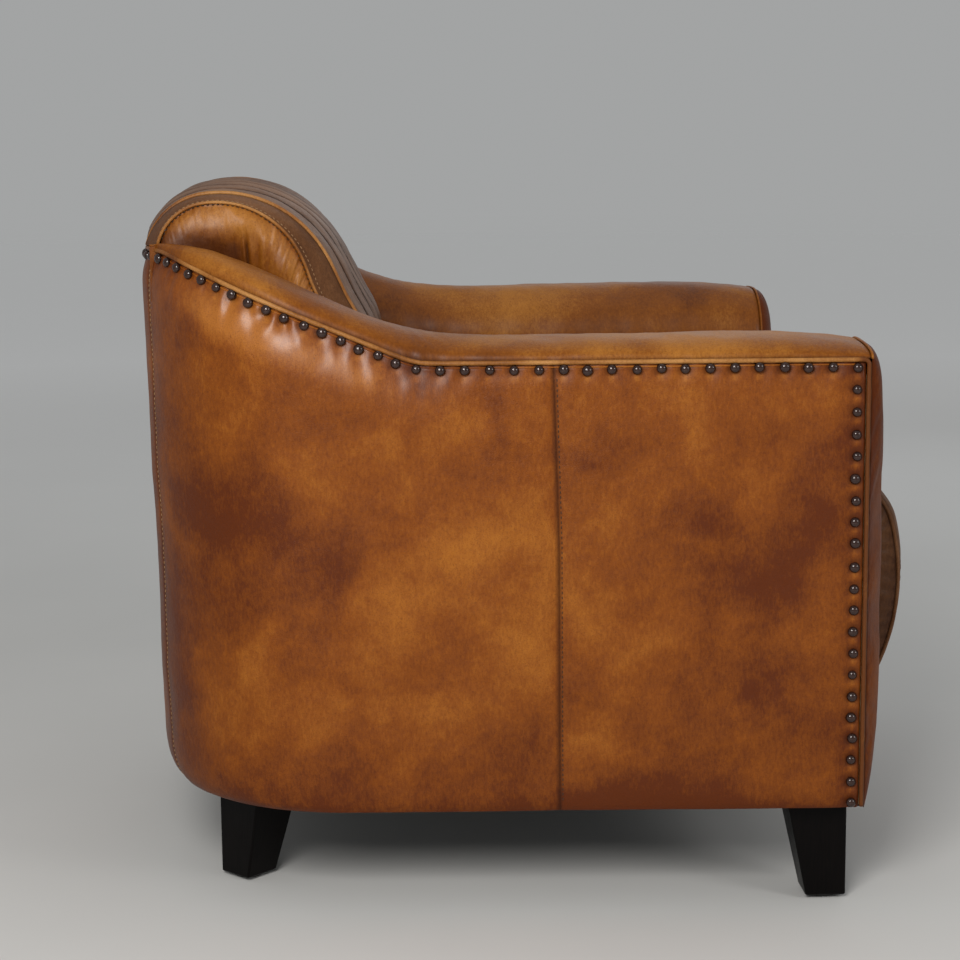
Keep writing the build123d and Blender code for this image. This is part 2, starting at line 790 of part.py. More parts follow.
def stud_spots(turn):
    spots = []
    column_y = arm_front_y + stud_front_setback
    top = arm_seam_z - stud_drop
    lowest = hem_z + stud_radius + 1
    count = round((top - lowest) / stud_column_pitch) + 1
    for i in range(count):
        spots.append((side_x(column_y, -stud_lift), column_y, top - i * (top - lowest) / (count - 1), flare))
    row_length = kink_y - column_y
    count = round(row_length / stud_pitch)
    for i in range(1, count):
        y = column_y + i * row_length / count
        spots.append((side_x(y, -stud_lift), y, top, flare))
    # beyond the kink, equal steps along the climbing line
    travelled = 0.0
    y = kink_y
    while y < rear_y(rim_seam_z) - 1.5:
        z = arm_seam_z + climb(y) - stud_drop
        x = outline_x(y, z, -stud_lift)
        if travelled <= 0:
            ccx, ccy = corner_centre(z)
            heading = max(math.atan2(y - ccy, x - ccx), flare)
            spots.append((x, y, z, heading))
            travelled = stud_climb_pitch
        step = y + 0.4
        next_z = arm_seam_z + climb(step) - stud_drop
        travelled -= math.dist((x, y, z), (outline_x(step, next_z, -stud_lift), step, next_z))
        y = step
    return [(turn * x, y, z, h if turn > 0 else math.pi - h) for x, y, z, h in spots]


studs_left = [stud_at(*spot) for spot in stud_spots(1)]
studs_right = [stud_at(*spot) for spot in stud_spots(-1)]
row_half = min(abs(stud_spots(1)[-1][0]), half_width)
row_count = round(2 * row_half / stud_pitch)
back_row_z = rim_seam_z - stud_drop
studs_back = []
for i in range(1, row_count):
    x = -row_half + i * 2 * row_half / row_count
    y = rear_y(back_row_z, -stud_lift) if abs(x) < cx else cy + math.sqrt((corner_radius + stud_lift) ** 2 - (abs(x) - cx) ** 2)
    heading = math.pi / 2 if abs(x) < cx else math.atan2(y - cy, x - math.copysign(cx, x))
    studs_back.append(stud_at(x, y, back_row_z, heading))


# Legs with their bolts, tee nuts and glides
def leg_shape():
    # upright corner on the axis, the two faces away from it taper
    taper = [(0, glide_height), (leg_bottom, glide_height), (leg_top, frame_z), (0, frame_z)]
    face = make_face(Polyline(*taper, close=True))
    body = extrude(Plane.YZ * face, amount=leg_top, dir=(1, 0, 0))
    body = body & extrude(Plane.XZ * face, amount=leg_top, dir=(0, 1, 0))
    upright = body.edges().filter_by(lambda e: abs(e.tangent_at(0.5).Z) > 0.5)
    body = fillet(upright, leg_edge)
    body = chamfer(body.faces().sort_by(Axis.Z)[0].edges(), 1.5)
    bolt_hole = rod(leg_top / 2, leg_top / 2, frame_z - 32, frame_z + 1, bolt_radius + clearance)
    pin_hole = rod(leg_bottom / 2, leg_bottom / 2, 0, glide_height + 14, 1.6 + clearance)
    return body - bolt_hole - pin_hole


def glide_shape():
    pad = rod(leg_bottom / 2, leg_bottom / 2, 0, glide_height, glide_radius)
    pad = chamfer(pad.edges().sort_by(Axis.Z)[0], 1.2)
    return pad + rod(leg_bottom / 2, leg_bottom / 2, glide_height - 1, glide_height + 13, 1.6)


def bolt_shape():
    return rod(leg_top / 2, leg_top / 2, frame_z - 30, frame_z - 30 + bolt_length, bolt_radius)


def tee_shape():
    spot = leg_top / 2
    barrel = rod(spot, spot, block_top_z - tee_barrel_length, block_top_z, tee_barrel_radius)
    flange = rod(spot, spot, block_top_z, block_top_z + tee_flange_height, tee_flange_radius)
    bore = rod(spot, spot, 0, 2 * block_top_z, bolt_radius + clearance)
    return barrel + flange - bore


front_spot = Pos(-front_leg_x, front_leg_y, 0)
rear_spot = Pos(rear_leg_x, rear_leg_y, 0) * Rot(0, 0, 225)


def at_front_right(shape):
    return front_spot * shape


def at_rear_left(shape):
    return rear_spot * shape


def at_legs(make):
    shape = make()
    right = at_front_right(shape)
    left = at_rear_left(shape)
    return [right, mirrored(right), left, mirrored(left)]


legs = at_legs(leg_shape)
glides = at_legs(glide_shape)
leg_bolts = at_legs(bolt_shape)
tee_nuts = at_legs(tee_shape)

dust_inset = panel_thickness + 2
dust_cover = tub_block(dust_inset, hem_z + 0.2, frame_z - 0.2, apron_back_y + 1)
for leg in legs:
    reach = leg.bounding_box()
    gap = 1.0
    if abs(leg.center().Y - front_leg_y) < leg_top:
        hole = block(reach.min.X - gap, reach.max.X + gap, reach.min.Y - gap, reach.max.Y + gap, 0, 2 * frame_z)
    else:
        mid_x = (reach.min.X + reach.max.X) / 2
        mid_y = (reach.min.Y + reach.max.Y) / 2
        side = (leg_top + 2 * gap)
        hole = Pos(mid_x, mid_y, frame_z) * Rot(0, 0, 45) * Box(side, side, frame_z)
    dust_cover = dust_cover - hole


# The origin goes under the middle of the chair's depth, between the seat's nose and the nails on the back
front_reach = seat_nose_y - seat_crown - seat_rib_height
rear_reach = rear_y(back_row_z, -stud_lift) + stud_height
centre_y = (front_reach + rear_reach) / 2


def save(name, shape):
    shapes = shape if isinstance(shape, (list, tuple)) else [shape]
    solids = [Pos(0, -centre_y, 0) * piece.solid() for piece in shapes]
    whole = solids[0] if len(solids) == 1 else Compound(children=solids)
    export_step(whole, f"parts/{name}.step")


def save_pair(name, left_shape):
    save(f"{name}_left", left_shape)
    save(f"{name}_right", mirrored(left_shape))


save("corner_blocks", corner_blocks)
save("front_rail", front_rail)
save("rear_rail", rear_rail)
save_pair("side_rail", side_rail)
save_pair("front_post", front_post)
save_pair("rear_post", rear_post)
save_pair("arm_rail", arm_rail)
save_pair("slope_rail", slope_rail)
save_pair("arm_board", arm_board)
save("back_top_rail", back_top_rail)
save("back_lower_rail", back_lower_rail)
save("seat_rear_rail", seat_rear_rail)
save_pair("side_board", side_board)
save("back_board", back_board)
save("seat_springs", seat_springs)
save("spring_clips", spring_clips)
save("seat_hessian", seat_hessian)
save("back_webbing", back_webbing)
save("seat_foam", seat_foam)
save("back_foam", back_foam)
save_pair("arm_foam", arm_foam)
save("seat_cover", seat_cover)
save_pair("seat_side", seat_side)
save("seat_welts", [seat_welt, mirrored(seat_welt)])
save("back_cover", back_cover)
save_pair("back_band", back_band)
save_pair("back_side", back_side)
save("back_welts", [back_welt, mirrored(back_welt)])
save_pair("arm_cover", arm_cover)
save_pair("arm_facing", arm_facing)
save_pair("side_front_panel", side_front_panel)
save_pair("side_rear_panel", side_rear_panel)
save("outside_back_panel", outside_back_panel)
save("front_apron", front_apron)
save("dust_cover", dust_cover)
save("rim_welt", rim_welt)
save("studs", studs_left + studs_right + studs_back)
save("front_right_leg", legs[0])
save("front_left_leg", legs[1])
save("rear_left_leg", legs[2])
save("rear_right_leg", legs[3])
save("glides", glides)
save("leg_bolts", leg_bolts)
save("tee_nuts", tee_nuts)
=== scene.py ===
import bpy
import json
import math
import numpy as np
from mathutils import Matrix


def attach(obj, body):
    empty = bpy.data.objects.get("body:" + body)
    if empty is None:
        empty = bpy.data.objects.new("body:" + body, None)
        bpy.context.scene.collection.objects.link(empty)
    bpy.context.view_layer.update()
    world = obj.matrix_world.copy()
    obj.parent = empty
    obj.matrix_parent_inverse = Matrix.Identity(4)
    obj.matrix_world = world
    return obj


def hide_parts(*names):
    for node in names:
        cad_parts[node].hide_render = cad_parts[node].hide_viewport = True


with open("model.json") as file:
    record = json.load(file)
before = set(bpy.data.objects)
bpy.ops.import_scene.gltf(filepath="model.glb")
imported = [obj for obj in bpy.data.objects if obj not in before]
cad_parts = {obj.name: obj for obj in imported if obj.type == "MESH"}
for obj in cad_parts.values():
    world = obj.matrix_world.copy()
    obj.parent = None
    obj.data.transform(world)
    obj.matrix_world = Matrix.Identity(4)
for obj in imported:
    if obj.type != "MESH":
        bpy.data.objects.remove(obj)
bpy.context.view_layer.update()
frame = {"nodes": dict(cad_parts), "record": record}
print("frame loaded,", len(frame["nodes"]), "nodes")

# shapes are worked out in millimetres on the chair's own lines; depthShift moves them to the row frame
depthShift = 8.5637
flankSpan = 566.0  # turns a distance along the flank into a share of it
tub = dict(halfWidth=400.0, flare=math.radians(3.1), corner=190.0, front=-350.0, rearHem=407.0, midHeight=400.0,
           lean=math.radians(1.05), hem=112.0, tuck=20.0, tuckHeight=50.0, inner=250.0, roll=68.0)
# the arm's seam runs level to the kink, climbs to the rim and is level again; its crest lies above the seam
armLine = dict(seam=597.8, rim=711.5, kink=122.5, kinkKnee=7.0, climbEnd=395.0, rimKnee=4.0,
               crestRise=23.4, crestLead=6.0, crestKnee=22.0, crestFall=318.0, crestLast=400.0, crestEnd=3.0,
               dip=9.0, dipStart=-255.0, full=3.0, fullY=285.0, fullReach=45.0,
               drawIn=5.0, drawStart=240.0, drawReach=150.0)
climbRate = (armLine["rim"] - armLine["seam"]) / (armLine["climbEnd"] - armLine["kink"])
sides = (("left", False), ("right", True))  # the right side is the left one mirrored
flipX = np.array([-1, 1, 1])


def unit(t):
    # t kept between 0 and 1
    return np.clip(t, 0, 1)


def bell(t, width):
    # e^(-(t / width)^2)
    return np.exp(-((t / width) ** 2))


def hill(t, place):
    # a bell curve with its middle and width
    return bell(t - place[0], place[1])


def fade(t, width):
    # e^(-t / width)
    return np.exp(-t / width)


def fadePast(t, start, width):
    # 1 up to the start, then e^(-(t - start) / width)
    return fade(np.maximum(t - start, 0), width)


def nearTo(distance, mark):
    # a mark's strength times e^(-distance / reach)
    return mark[0] * fade(distance, mark[1])


def smoothStep(t):
    # t^2 (3 - 2t) between 0 and 1
    t = unit(t)
    return t * t * (3 - 2 * t)


def dome(t, power=2.0):
    # quarter ellipse from 0 at t = 0 up to 1 at t = 1
    return np.sqrt(unit(1 - unit(1 - t) ** power))


def softRamp(t, width):
    # a ramp that starts at 0 with a rounded knee: width times log(1 + e^(t / width))
    return width * np.logaddexp(0, t / width)


def cosSteps(count):
    # 0..1 in steps that close up at both ends: (1 - cos) / 2
    return 0.5 - 0.5 * np.cos(np.linspace(0, math.pi, count))


def spans(*counts):
    # 0..1, 1..2 and so on as one line, each span with its own number of points
    return np.concatenate([np.linspace(k, k + 1, n)[min(k, 1):] for k, n in enumerate(counts)])


def onGrid(a, b):
    # two lines spread over a grid, the first down the rows and the second along the columns
    return np.meshgrid(a, b, indexing="ij")


def points(x, y, z):
    # three coordinates as one array of points
    return np.stack(np.broadcast_arrays(x, y, z), -1).astype(float)


def sideX(y):
    # the flank is a straight line that closes in by the flare angle towards the back
    return tub["halfWidth"] - (y - tub["front"]) * math.tan(tub["flare"])


def rearY(z):
    # the back leans out in a straight line, and tucks under by a quarter ellipse at the hem
    up = z - tub["hem"]
    return tub["rearHem"] + up * math.tan(tub["lean"]) - tub["tuck"] * (1 - dome(up / tub["tuckHeight"]))


def cornerCentre(z):
    # the corner circle touches the flank and the back, so its centre is one radius inside both
    cy = rearY(z) - tub["corner"]
    return sideX(cy) - tub["corner"] / math.cos(tub["flare"]), cy


cornerStep = tub["corner"] * math.sin(tub["flare"])  # how far behind the corner's centre the flank ends
flankEnd = cornerCentre(tub["midHeight"])[1] + cornerStep


def outline(u, z):
    # plan line of the tub: u 0..1 along the flank, 1..2 round the corner, 2..3 along the back to the middle;
    # gives the place and the outward heading
    u, z = np.broadcast_arrays(np.asarray(u, float), np.asarray(z, float))
    cx, cy = cornerCentre(z)
    flank = unit(u)
    yFlank = tub["front"] + flank * (flankEnd - tub["front"]) + (cy + cornerStep - flankEnd) * flank**8
    turn = tub["flare"] + unit(u - 1) * (math.pi / 2 - tub["flare"])
    x = np.where(u <= 1, sideX(yFlank), cx + tub["corner"] * np.cos(turn))
    y = np.where(u <= 1, yFlank, cy + tub["corner"] * np.sin(turn))
    return np.where(u > 2, cx * (3 - u), x), y, np.cos(turn), np.sin(turn)


def outlineX(y, z):
    # half width of the tub at y: flank, then corner circle
    cx, cy = cornerCentre(z)
    arc = cx + np.sqrt(np.maximum(tub["corner"] ** 2 - (y - cy) ** 2, 0))
    return np.where(y <= cy + cornerStep, sideX(y), arc)


def flankShare(y):
    # place u on the flank at y
    return (y - tub["front"]) / (flankEnd - tub["front"])


def climb(y, start, knee):
    # rise of the arm line past its kink, level again at the rim
    rise = softRamp(np.asarray(y, float) - start, knee)
    return climbRate * (rise - softRamp(rise - (armLine["climbEnd"] - start), armLine["rimKnee"]))


def seamZ(y):
    # height of the seam between arm and outside panels: level, then the climb
    return armLine["seam"] + climb(y, armLine["kink"], armLine["kinkKnee"])


def crestZ(y):
    # crest of the arm: dips to the arm front, a little fuller over the climb, sinks to the rim at the back
    dip = np.maximum((armLine["dipStart"] - y) / (armLine["dipStart"] - tub["front"]), 0) ** 1.7
    fall = unit((y - armLine["crestFall"]) / (armLine["crestLast"] - armLine["crestFall"])) ** 1.8
    rise = climb(y, armLine["kink"] - armLine["crestLead"], armLine["crestKnee"])
    level = armLine["seam"] + armLine["crestRise"] + rise - armLine["dip"] * dip
    level = level + armLine["full"] * bell(y - armLine["fullY"], armLine["fullReach"])
    return level - (armLine["crestRise"] - armLine["crestEnd"]) * fall


def rimIn(y):
    # the rim is drawn in towards the back cushion, easing in along the climb
    return armLine["drawIn"] * smoothStep((np.asarray(y, float) - armLine["drawStart"]) / armLine["drawReach"])


def waves(pts, size, seed, count=14):
    # smooth noise about -1..1: a sum of plane waves in seeded random directions, wavelength near the size in mm
    rng = np.random.RandomState(seed)
    way = rng.normal(size=(count, 3))
    way /= np.linalg.norm(way, axis=1, keepdims=True)
    way *= 2 * math.pi / (size * rng.uniform(0.6, 1.6, (count, 1)))
    phase = rng.uniform(0, 2 * math.pi, count)
    return np.sin(pts @ way.T + phase).sum(-1) / math.sqrt(count)


def uneven(pts, layers):
    # layers of waves, each with its strength, size and seed
    return sum(strength * waves(pts, size, seed) for strength, size, seed in layers)


def newMesh(name, pts, faces, finish, uv=None, marks=None):
    # pts: points in mm; faces: (n, 4) corner numbers; uv: one pair per point; marks: float attributes
    mesh = bpy.data.meshes.new(name)
    mesh.vertices.add(len(pts))
    mesh.vertices.foreach_set("co", ((pts + [0, depthShift, 0]) / 1000).astype(np.float32).ravel())
    mesh.loops.add(faces.size)
    mesh.loops.foreach_set("vertex_index", faces.astype(np.int32).ravel())
    mesh.polygons.add(len(faces))
    mesh.polygons.foreach_set("loop_start", np.arange(0, faces.size, faces.shape[1], dtype=np.int32))
    mesh.polygons.foreach_set("use_smooth", np.ones(len(faces), bool))
    mesh.update(calc_edges=True)
    if uv is not None:
        layer = mesh.uv_layers.new(name="UVMap")
        layer.data.foreach_set("uv", np.asarray(uv, np.float32)[faces.ravel()].ravel())
    for key, values in (marks or {}).items():
        mark = mesh.attributes.new(key, "FLOAT", "POINT")
        mark.data.foreach_set("value", np.asarray(values, np.float32).ravel())
    mesh.validate()
    obj = bpy.data.objects.new(name, mesh)
    bpy.context.scene.collection.objects.link(obj)
    mesh.materials.append(finish)
    return obj


def gridFaces(rows, cols, closeCols=False, flip=False):
    # quads of a rows by cols grid, numbered row by row; closeCols joins the last column to the first
    i, j = onGrid(np.arange(rows - 1), np.arange(cols if closeCols else cols - 1))
    near, far = i * cols, (i + 1) * cols
    nextJ = (j + 1) % cols
    quads = np.stack([near + j, far + j, far + nextJ, near + nextJ], -1).reshape(-1, 4)
    return quads[:, ::-1] if flip else quads


def gridPiece(name, grid, finish, mirror=False, flip=False):
    # a grid's points, uv and marks as one piece; mirror builds the one for the other side
    pts, uv, marks = grid
    rows, cols = pts.shape[:2]
    flat = {k: np.broadcast_to(v, (rows, cols)).ravel() for k, v in marks.items()}
    faces = gridFaces(rows, cols, False, flip != mirror)
    return newMesh(name, (pts * flipX if mirror else pts).reshape(-1, 3), faces, finish, uv.reshape(-1, 2), flat)


def gridNormals(pts):
    # unit normals of a grid from its two difference directions
    n = np.cross(np.gradient(pts, axis=0), np.gradient(pts, axis=1))
    return n / np.maximum(np.linalg.norm(n, axis=-1, keepdims=True), 1e-9)


def pathRun(path):
    # distance along a path at each of its points
    return np.r_[0, np.cumsum(np.linalg.norm(np.diff(path, axis=0), axis=1))]


def readOff(at, run, values):
    # the columns of values at given distances along their run
    return np.stack([np.interp(at, run, column) for column in values.T], -1)


def resample(path, step):
    # the same line with points a step apart
    run = pathRun(path)
    return readOff(np.linspace(0, run[-1], max(int(run[-1] / step) + 1, 2)), run, path)


def mirrored(path):
    # a path and its mirror image
    return [path, path * flipX]


def allRound(half):
    # a line from the left side to the middle, carried on to the right side
    return np.concatenate([half, (half[::-1] * flipX)[1:]])


def pathFrame(path):
    # tangents and two side directions carried along a path without twist
    t = np.gradient(path, axis=0)
    t /= np.linalg.norm(t, axis=1, keepdims=True)
    side = np.empty_like(t)
    first = np.cross(t[0], [0.3, 0.5, 0.8])
    side[0] = first / np.linalg.norm(first)
    for k in range(1, len(t)):
        s = side[k - 1] - t[k] * (side[k - 1] @ t[k])
        side[k] = s / np.linalg.norm(s)
    return t, side, np.cross(t, side)


def tubeGrid(path, radius, around):
    # a circle of the radius carried along the path, with its ends drawn in to a point
    t, a, b = pathFrame(path)
    angle = np.arange(around) * 2 * math.pi / around
    ring = np.cos(angle)[None, :, None] * a[:, None] + np.sin(angle)[None, :, None] * b[:, None]
    tube = path[:, None] + ring * radius[:, None, None]
    lead = path[0] - t[0] * radius[0] * 0.4
    tail = path[-1] + t[-1] * radius[-1] * 0.4
    ends = [np.repeat(end[None, None], around, 1) for end in (lead, tail)]
    return np.concatenate([ends[0], tube, ends[1]], 0)


# shader maths as Python expressions
class Val:
    def __init__(self, tree, socket):
        self.tree, self.socket = tree, socket

    def calc(self, operation, other, swap=False):
        node = self.tree.nodes.new("ShaderNodeMath")
        node.operation = operation
        for spot, value in zip(node.inputs, (other, self) if swap else (self, other)):
            if isinstance(value, Val):
                self.tree.links.new(value.socket, spot)
            else:
                spot.default_value = value
        return Val(self.tree, node.outputs[0])

    def __add__(self, o): return self.calc("ADD", o)
    def __sub__(self, o): return self.calc("SUBTRACT", o)
    def __rsub__(self, o): return self.calc("SUBTRACT", o, True)
    def __mul__(self, o): return self.calc("MULTIPLY", o)


class Finish:
    def __init__(self, name):
        self.material = bpy.data.materials.new(name)
        self.material.use_nodes = True
        self.tree = self.material.node_tree
        self.shader = self.tree.nodes["Principled BSDF"]

    def put(self, spot, value):
        # a link into the socket, or a plain value
        if isinstance(value, Val):
            self.tree.links.new(value.socket, spot)
        else:
            spot.default_value = value

    def add(self, kind, settings=None, sockets=None, out=0):
        # one node: its settings first, then values or links of its sockets
        node = self.tree.nodes.new(kind)
        for key, value in (settings or {}).items():
            setattr(node, key, value)
        for key, value in (sockets or {}).items():
            self.put(node.inputs[key], value)
        return Val(self.tree, node.outputs[out])

    def ramp(self, share, stops):
        # colours at their places along the share, blended between
        node = self.tree.nodes.new("ShaderNodeValToRGB")
        while len(node.color_ramp.elements) < len(stops):
            node.color_ramp.elements.new(0.5)
        for element, (place, colour) in zip(node.color_ramp.elements, stops):
            element.position, element.color = place, rgb(colour)
        self.put(node.inputs["Fac"], share)
        return Val(self.tree, node.outputs[0])

    def place(self, scale=(1, 1, 1), turn=(0, 0, 0)):
        # Object coordinates, stretched and turned
        point = self.add("ShaderNodeTexCoord", out=3)
        return self.add("ShaderNodeMapping", None, {"Vector": point, "Scale": scale, "Rotation": turn})

    def mark(self, name):
        return self.add("ShaderNodeAttribute", {"attribute_name": name}, None, 2)

    def noise(self, scale, detail=4.0, rough=0.55, bend=0.0, vector=None):
        sockets = {"Scale": scale, "Detail": detail, "Roughness": rough, "Distortion": bend}
        return self.add("ShaderNodeTexNoise", None, {**sockets, "Vector": vector or self.place()})

    def cells(self, scale):
        sockets = {"Scale": scale, "Vector": self.place()}
        return self.add("ShaderNodeTexVoronoi", {"feature": "DISTANCE_TO_EDGE"}, sockets)

    def lines(self, scale, way, bend=0.0):
        sockets = {"Scale": scale, "Distortion": bend, "Vector": self.place()}
        return self.add("ShaderNodeTexWave", {"bands_direction": way}, sockets)

    def mix(self, share, a, b):
        return self.add("ShaderNodeMix", {"data_type": "RGBA"}, {0: share, 6: a, 7: b}, 2)

    def spread(self, value, low, high, toLow=0.0, toHigh=1.0):
        sockets = {"Value": value, "From Min": low, "From Max": high, "To Min": toLow, "To Max": toHigh}
        return self.add("ShaderNodeMapRange", {"clamp": True}, sockets)

    def bump(self, height, distance, strength, **more):
        sockets = {"Height": height, "Distance": distance, "Strength": strength, **more}
        return self.add("ShaderNodeBump", None, sockets)

    def wear(self, **sockets):
        # values and links straight onto the Principled shader
        for key, value in sockets.items():
            self.put(self.shader.inputs[key.replace("_", " ")], value)
        return self.material


def rgb(colour, share=1.0):
    # a colour as the shader takes it, dimmed to a share
    return (*[c * share for c in colour], 1.0)


def leatherFinish(name, dark, mid, light, gloss=0.4, cloud=1.0, coat=0.12, coatRough=0.3, shine=0.14):
    # cloudy patina of three tones, darker by one mark that holds both seam patina and painted shade, nearly black
    # where painted shade fills creases and grooves, lighter by one mark that holds both rubbed wear and painted
    # highlights, waxed where it gleams ("gleam"), over drawn-out fibre marks and a fine pebble grain with pores
    f = Finish(name)
    broad = f.noise(4.4, 2.0, 0.45, 0.5)
    blot = f.noise(11.0, 3.0, 0.5, 0.4)
    small = f.noise(55.0, 5.0, 0.62, 0.3)
    fibre = f.noise(330.0, 4.0, 0.6, 0.4, f.place((1.0, 1.0, 0.42), (0.25, 0.0, 0.0)))
    speck = f.noise(620.0, 3.0, 0.65)
    pebble = f.cells(560.0)
    shares = ((broad, 0.48), (blot, 0.36), (small, 0.16))
    first, second, third = (f.spread(patch, 0.28, 0.72) * share for patch, share in shares)
    tone = (first + second + third - 0.5) * cloud + 0.5
    tone = tone + (fibre - 0.5) * 0.62 - f.mark("patinaAndShade") * 0.55 + f.mark("rubAndHighlight") * 0.5
    colour = f.ramp(tone, [(0.06, dark), (0.5, mid), (0.94, light)])
    colour = f.mix(f.spread(speck, 0.5, 0.72, 0.0, 0.42), colour, rgb(dark, 0.6))
    # painted shade: creases and grooves are mixed towards a nearly black brown
    colour = f.mix(f.mark("creaseShade") * 0.9, colour, rgb(dark, 0.25))
    grain = f.spread(pebble, 0.0, 0.32) * 0.7 + fibre * 0.5 + speck * 0.3
    fold = f.bump(f.noise(120.0, 4.0, 0.55), 0.0012, 0.6)
    rough = f.spread(blot, 0.3, 0.7, gloss - 0.06, gloss + 0.08) + (1.0 - f.spread(pebble, 0.0, 0.3)) * 0.1
    wax = f.spread(small, 0.3, 0.7, coat * 1.25, coat * 0.75) + f.mark("gleam")
    return f.wear(Base_Color=colour, Roughness=rough + f.mark("creaseShade") * 0.3, Specular_IOR_Level=shine,
                  Normal=f.bump(grain, 0.0003, 0.6, Normal=fold), Coat_Weight=wax, Coat_Roughness=coatRough)


cognac = dict(dark=(0.100, 0.0190, 0.0010), mid=(0.215, 0.0545, 0.0030), light=(0.345, 0.1120, 0.0110))
armTan = dict(dark=(0.092, 0.0220, 0.0020), mid=(0.200, 0.0580, 0.0046), light=(0.360, 0.1380, 0.0200))
umber = dict(dark=(0.052, 0.0170, 0.0050), mid=(0.122, 0.0480, 0.0165), light=(0.215, 0.0980, 0.0420))
# the channels' tones: the band's umber about a quarter lighter, a lit copy painted for the ribs that face the
# lamps
litUmber = dict(dark=(0.060, 0.0250, 0.0110), mid=(0.150, 0.0720, 0.0380), light=(0.270, 0.1500, 0.0900))
# the welt's tones: the arm's tan made lighter, partly rubbed wear and partly a painted highlight for the cord's
# lit top
rubbedAndLit = dict(dark=(0.120, 0.0350, 0.0060), mid=(0.270, 0.1020, 0.0210), light=(0.420, 0.1950, 0.0560))
panelLeather = leatherFinish("cognacLeather", **cognac, cloud=1.45)
armLeather = leatherFinish("armLeather", **armTan, cloud=1.2, coat=0.16, coatRough=0.32, shine=0.08)
facingLeather = leatherFinish("facingLeather", **cognac, coat=0.04, shine=0.08)
sideLeather = leatherFinish("sideLeather", **armTan, gloss=0.36, cloud=0.9, coat=0.3, coatRough=0.36)
bandLeather = leatherFinish("brownLeather", **umber, coat=0.06, shine=0.12)
ribLeather = leatherFinish("channelLeather", **litUmber, coat=0.06, shine=0.1)
weltLeather = leatherFinish("weltLeather", **rubbedAndLit, gloss=0.38)
print("leather finishes made")


def nailFinish():
    # dark lacquered bronze: brown-black, a little warmer and more metallic on the dome
    f = Finish("nailBronze")
    worn = f.spread(f.noise(260.0, 4.0, 0.6), 0.38, 0.62) * 0.5 + f.mark("dome") * 0.6
    tint = f.mix(worn, rgb((0.008, 0.0030, 0.0022)), rgb((0.036, 0.0140, 0.0095)))
    scuff = f.spread(f.noise(700.0, 3.0), 0.3, 0.7, 0.1, 0.18)
    return f.wear(Base_Color=tint, Roughness=scuff, Normal=f.bump(f.noise(300.0, 2.0), 0.0001, 0.3),
                  Metallic=f.mark("dome") * 0.2, Specular_IOR_Level=0.6)


def lacquerFinish():
    # black lacquer over wood: faint drawn-out grain in colour and relief
    f = Finish("legLacquer")
    fibre = f.noise(60.0, 5.0, 0.6, 0.4, f.place((6, 6, 0.45)))
    tint = f.mix(f.spread(fibre, 0.3, 0.75), rgb((0.0010, 0.0007, 0.0007)), rgb((0.0030, 0.0018, 0.0016)))
    haze = f.spread(f.noise(35.0, 4.0), 0.3, 0.7, 0.36, 0.5)
    return f.wear(Base_Color=tint, Roughness=haze, Normal=f.bump(fibre, 0.0003, 0.5), Specular_IOR_Level=0.09)


def timberFinish(name, pale, deep):
    # planed timber: grain lines drawn out along the length, with broad growth bands
    f = Finish(name)
    fibre = f.noise(90.0, 5.0, 0.6, 0.5, f.place((1, 0.08, 1)))
    bands = f.noise(22.0, 3.0, 0.5, 1.2, f.place((1, 0.12, 1)))
    tint = f.mix(f.spread(fibre, 0.3, 0.7) * 0.5 + f.spread(bands, 0.35, 0.65) * 0.5, rgb(pale), rgb(deep))
    rough = f.spread(fibre, 0.3, 0.7, 0.5, 0.68)
    return f.wear(Base_Color=tint, Roughness=rough, Normal=f.bump(fibre, 0.0003, 0.5))


def clothFinish(name, ground, yarn, pitch):
    # plain weave from two crossed sine waves, yarn pitch in threads per metre
    f = Finish(name)
    weave = f.lines(pitch, "X", 0.6) * f.lines(pitch, "Y", 0.6)
    fuzz = f.noise(300.0, 3.0)
    tint = f.mix(weave * 0.7 + f.spread(fuzz, 0.3, 0.7) * 0.3, rgb(ground), rgb(yarn))
    rough = f.spread(fuzz, 0.3, 0.7, 0.78, 0.95)
    return f.wear(Base_Color=tint, Roughness=rough, Normal=f.bump(weave, 0.0005, 0.6))


def steelFinish(name, tint, rough):
    # drawn steel: fine streaks along the wire in tone and polish
    f = Finish(name)
    streak = f.noise(500.0, 3.0, 0.5, 0.0, f.place((1, 0.1, 1)))
    colour = f.mix(f.spread(streak, 0.3, 0.7), rgb(tint), rgb(tint, 0.7))
    return f.wear(Base_Color=colour, Metallic=1.0, Roughness=f.spread(streak, 0.3, 0.7, rough, rough + 0.15))


def plasticFinish():
    # moulded plastic with a fine matt texture and floor scuffs
    f = Finish("glidePlastic")
    scuff = f.spread(f.noise(140.0, 4.0), 0.45, 0.7)
    tint = f.mix(scuff, rgb((0.018, 0.016, 0.015)), rgb((0.045, 0.041, 0.038)))
    rough = f.spread(scuff, 0.0, 1.0, 0.45, 0.65)
    return f.wear(Base_Color=tint, Roughness=rough, Normal=f.bump(f.noise(1600.0, 2.0), 0.0001, 0.5))


def threadFinish(name, dark, light):
    # twisted waxed thread
    f = Finish(name)
    ply = f.lines(900.0, "DIAGONAL")
    rough = f.spread(ply, 0.0, 1.0, 0.5, 0.65)
    return f.wear(Base_Color=f.mix(ply, rgb(dark), rgb(light)), Roughness=rough, Normal=f.bump(ply, 0.0002, 0.6))


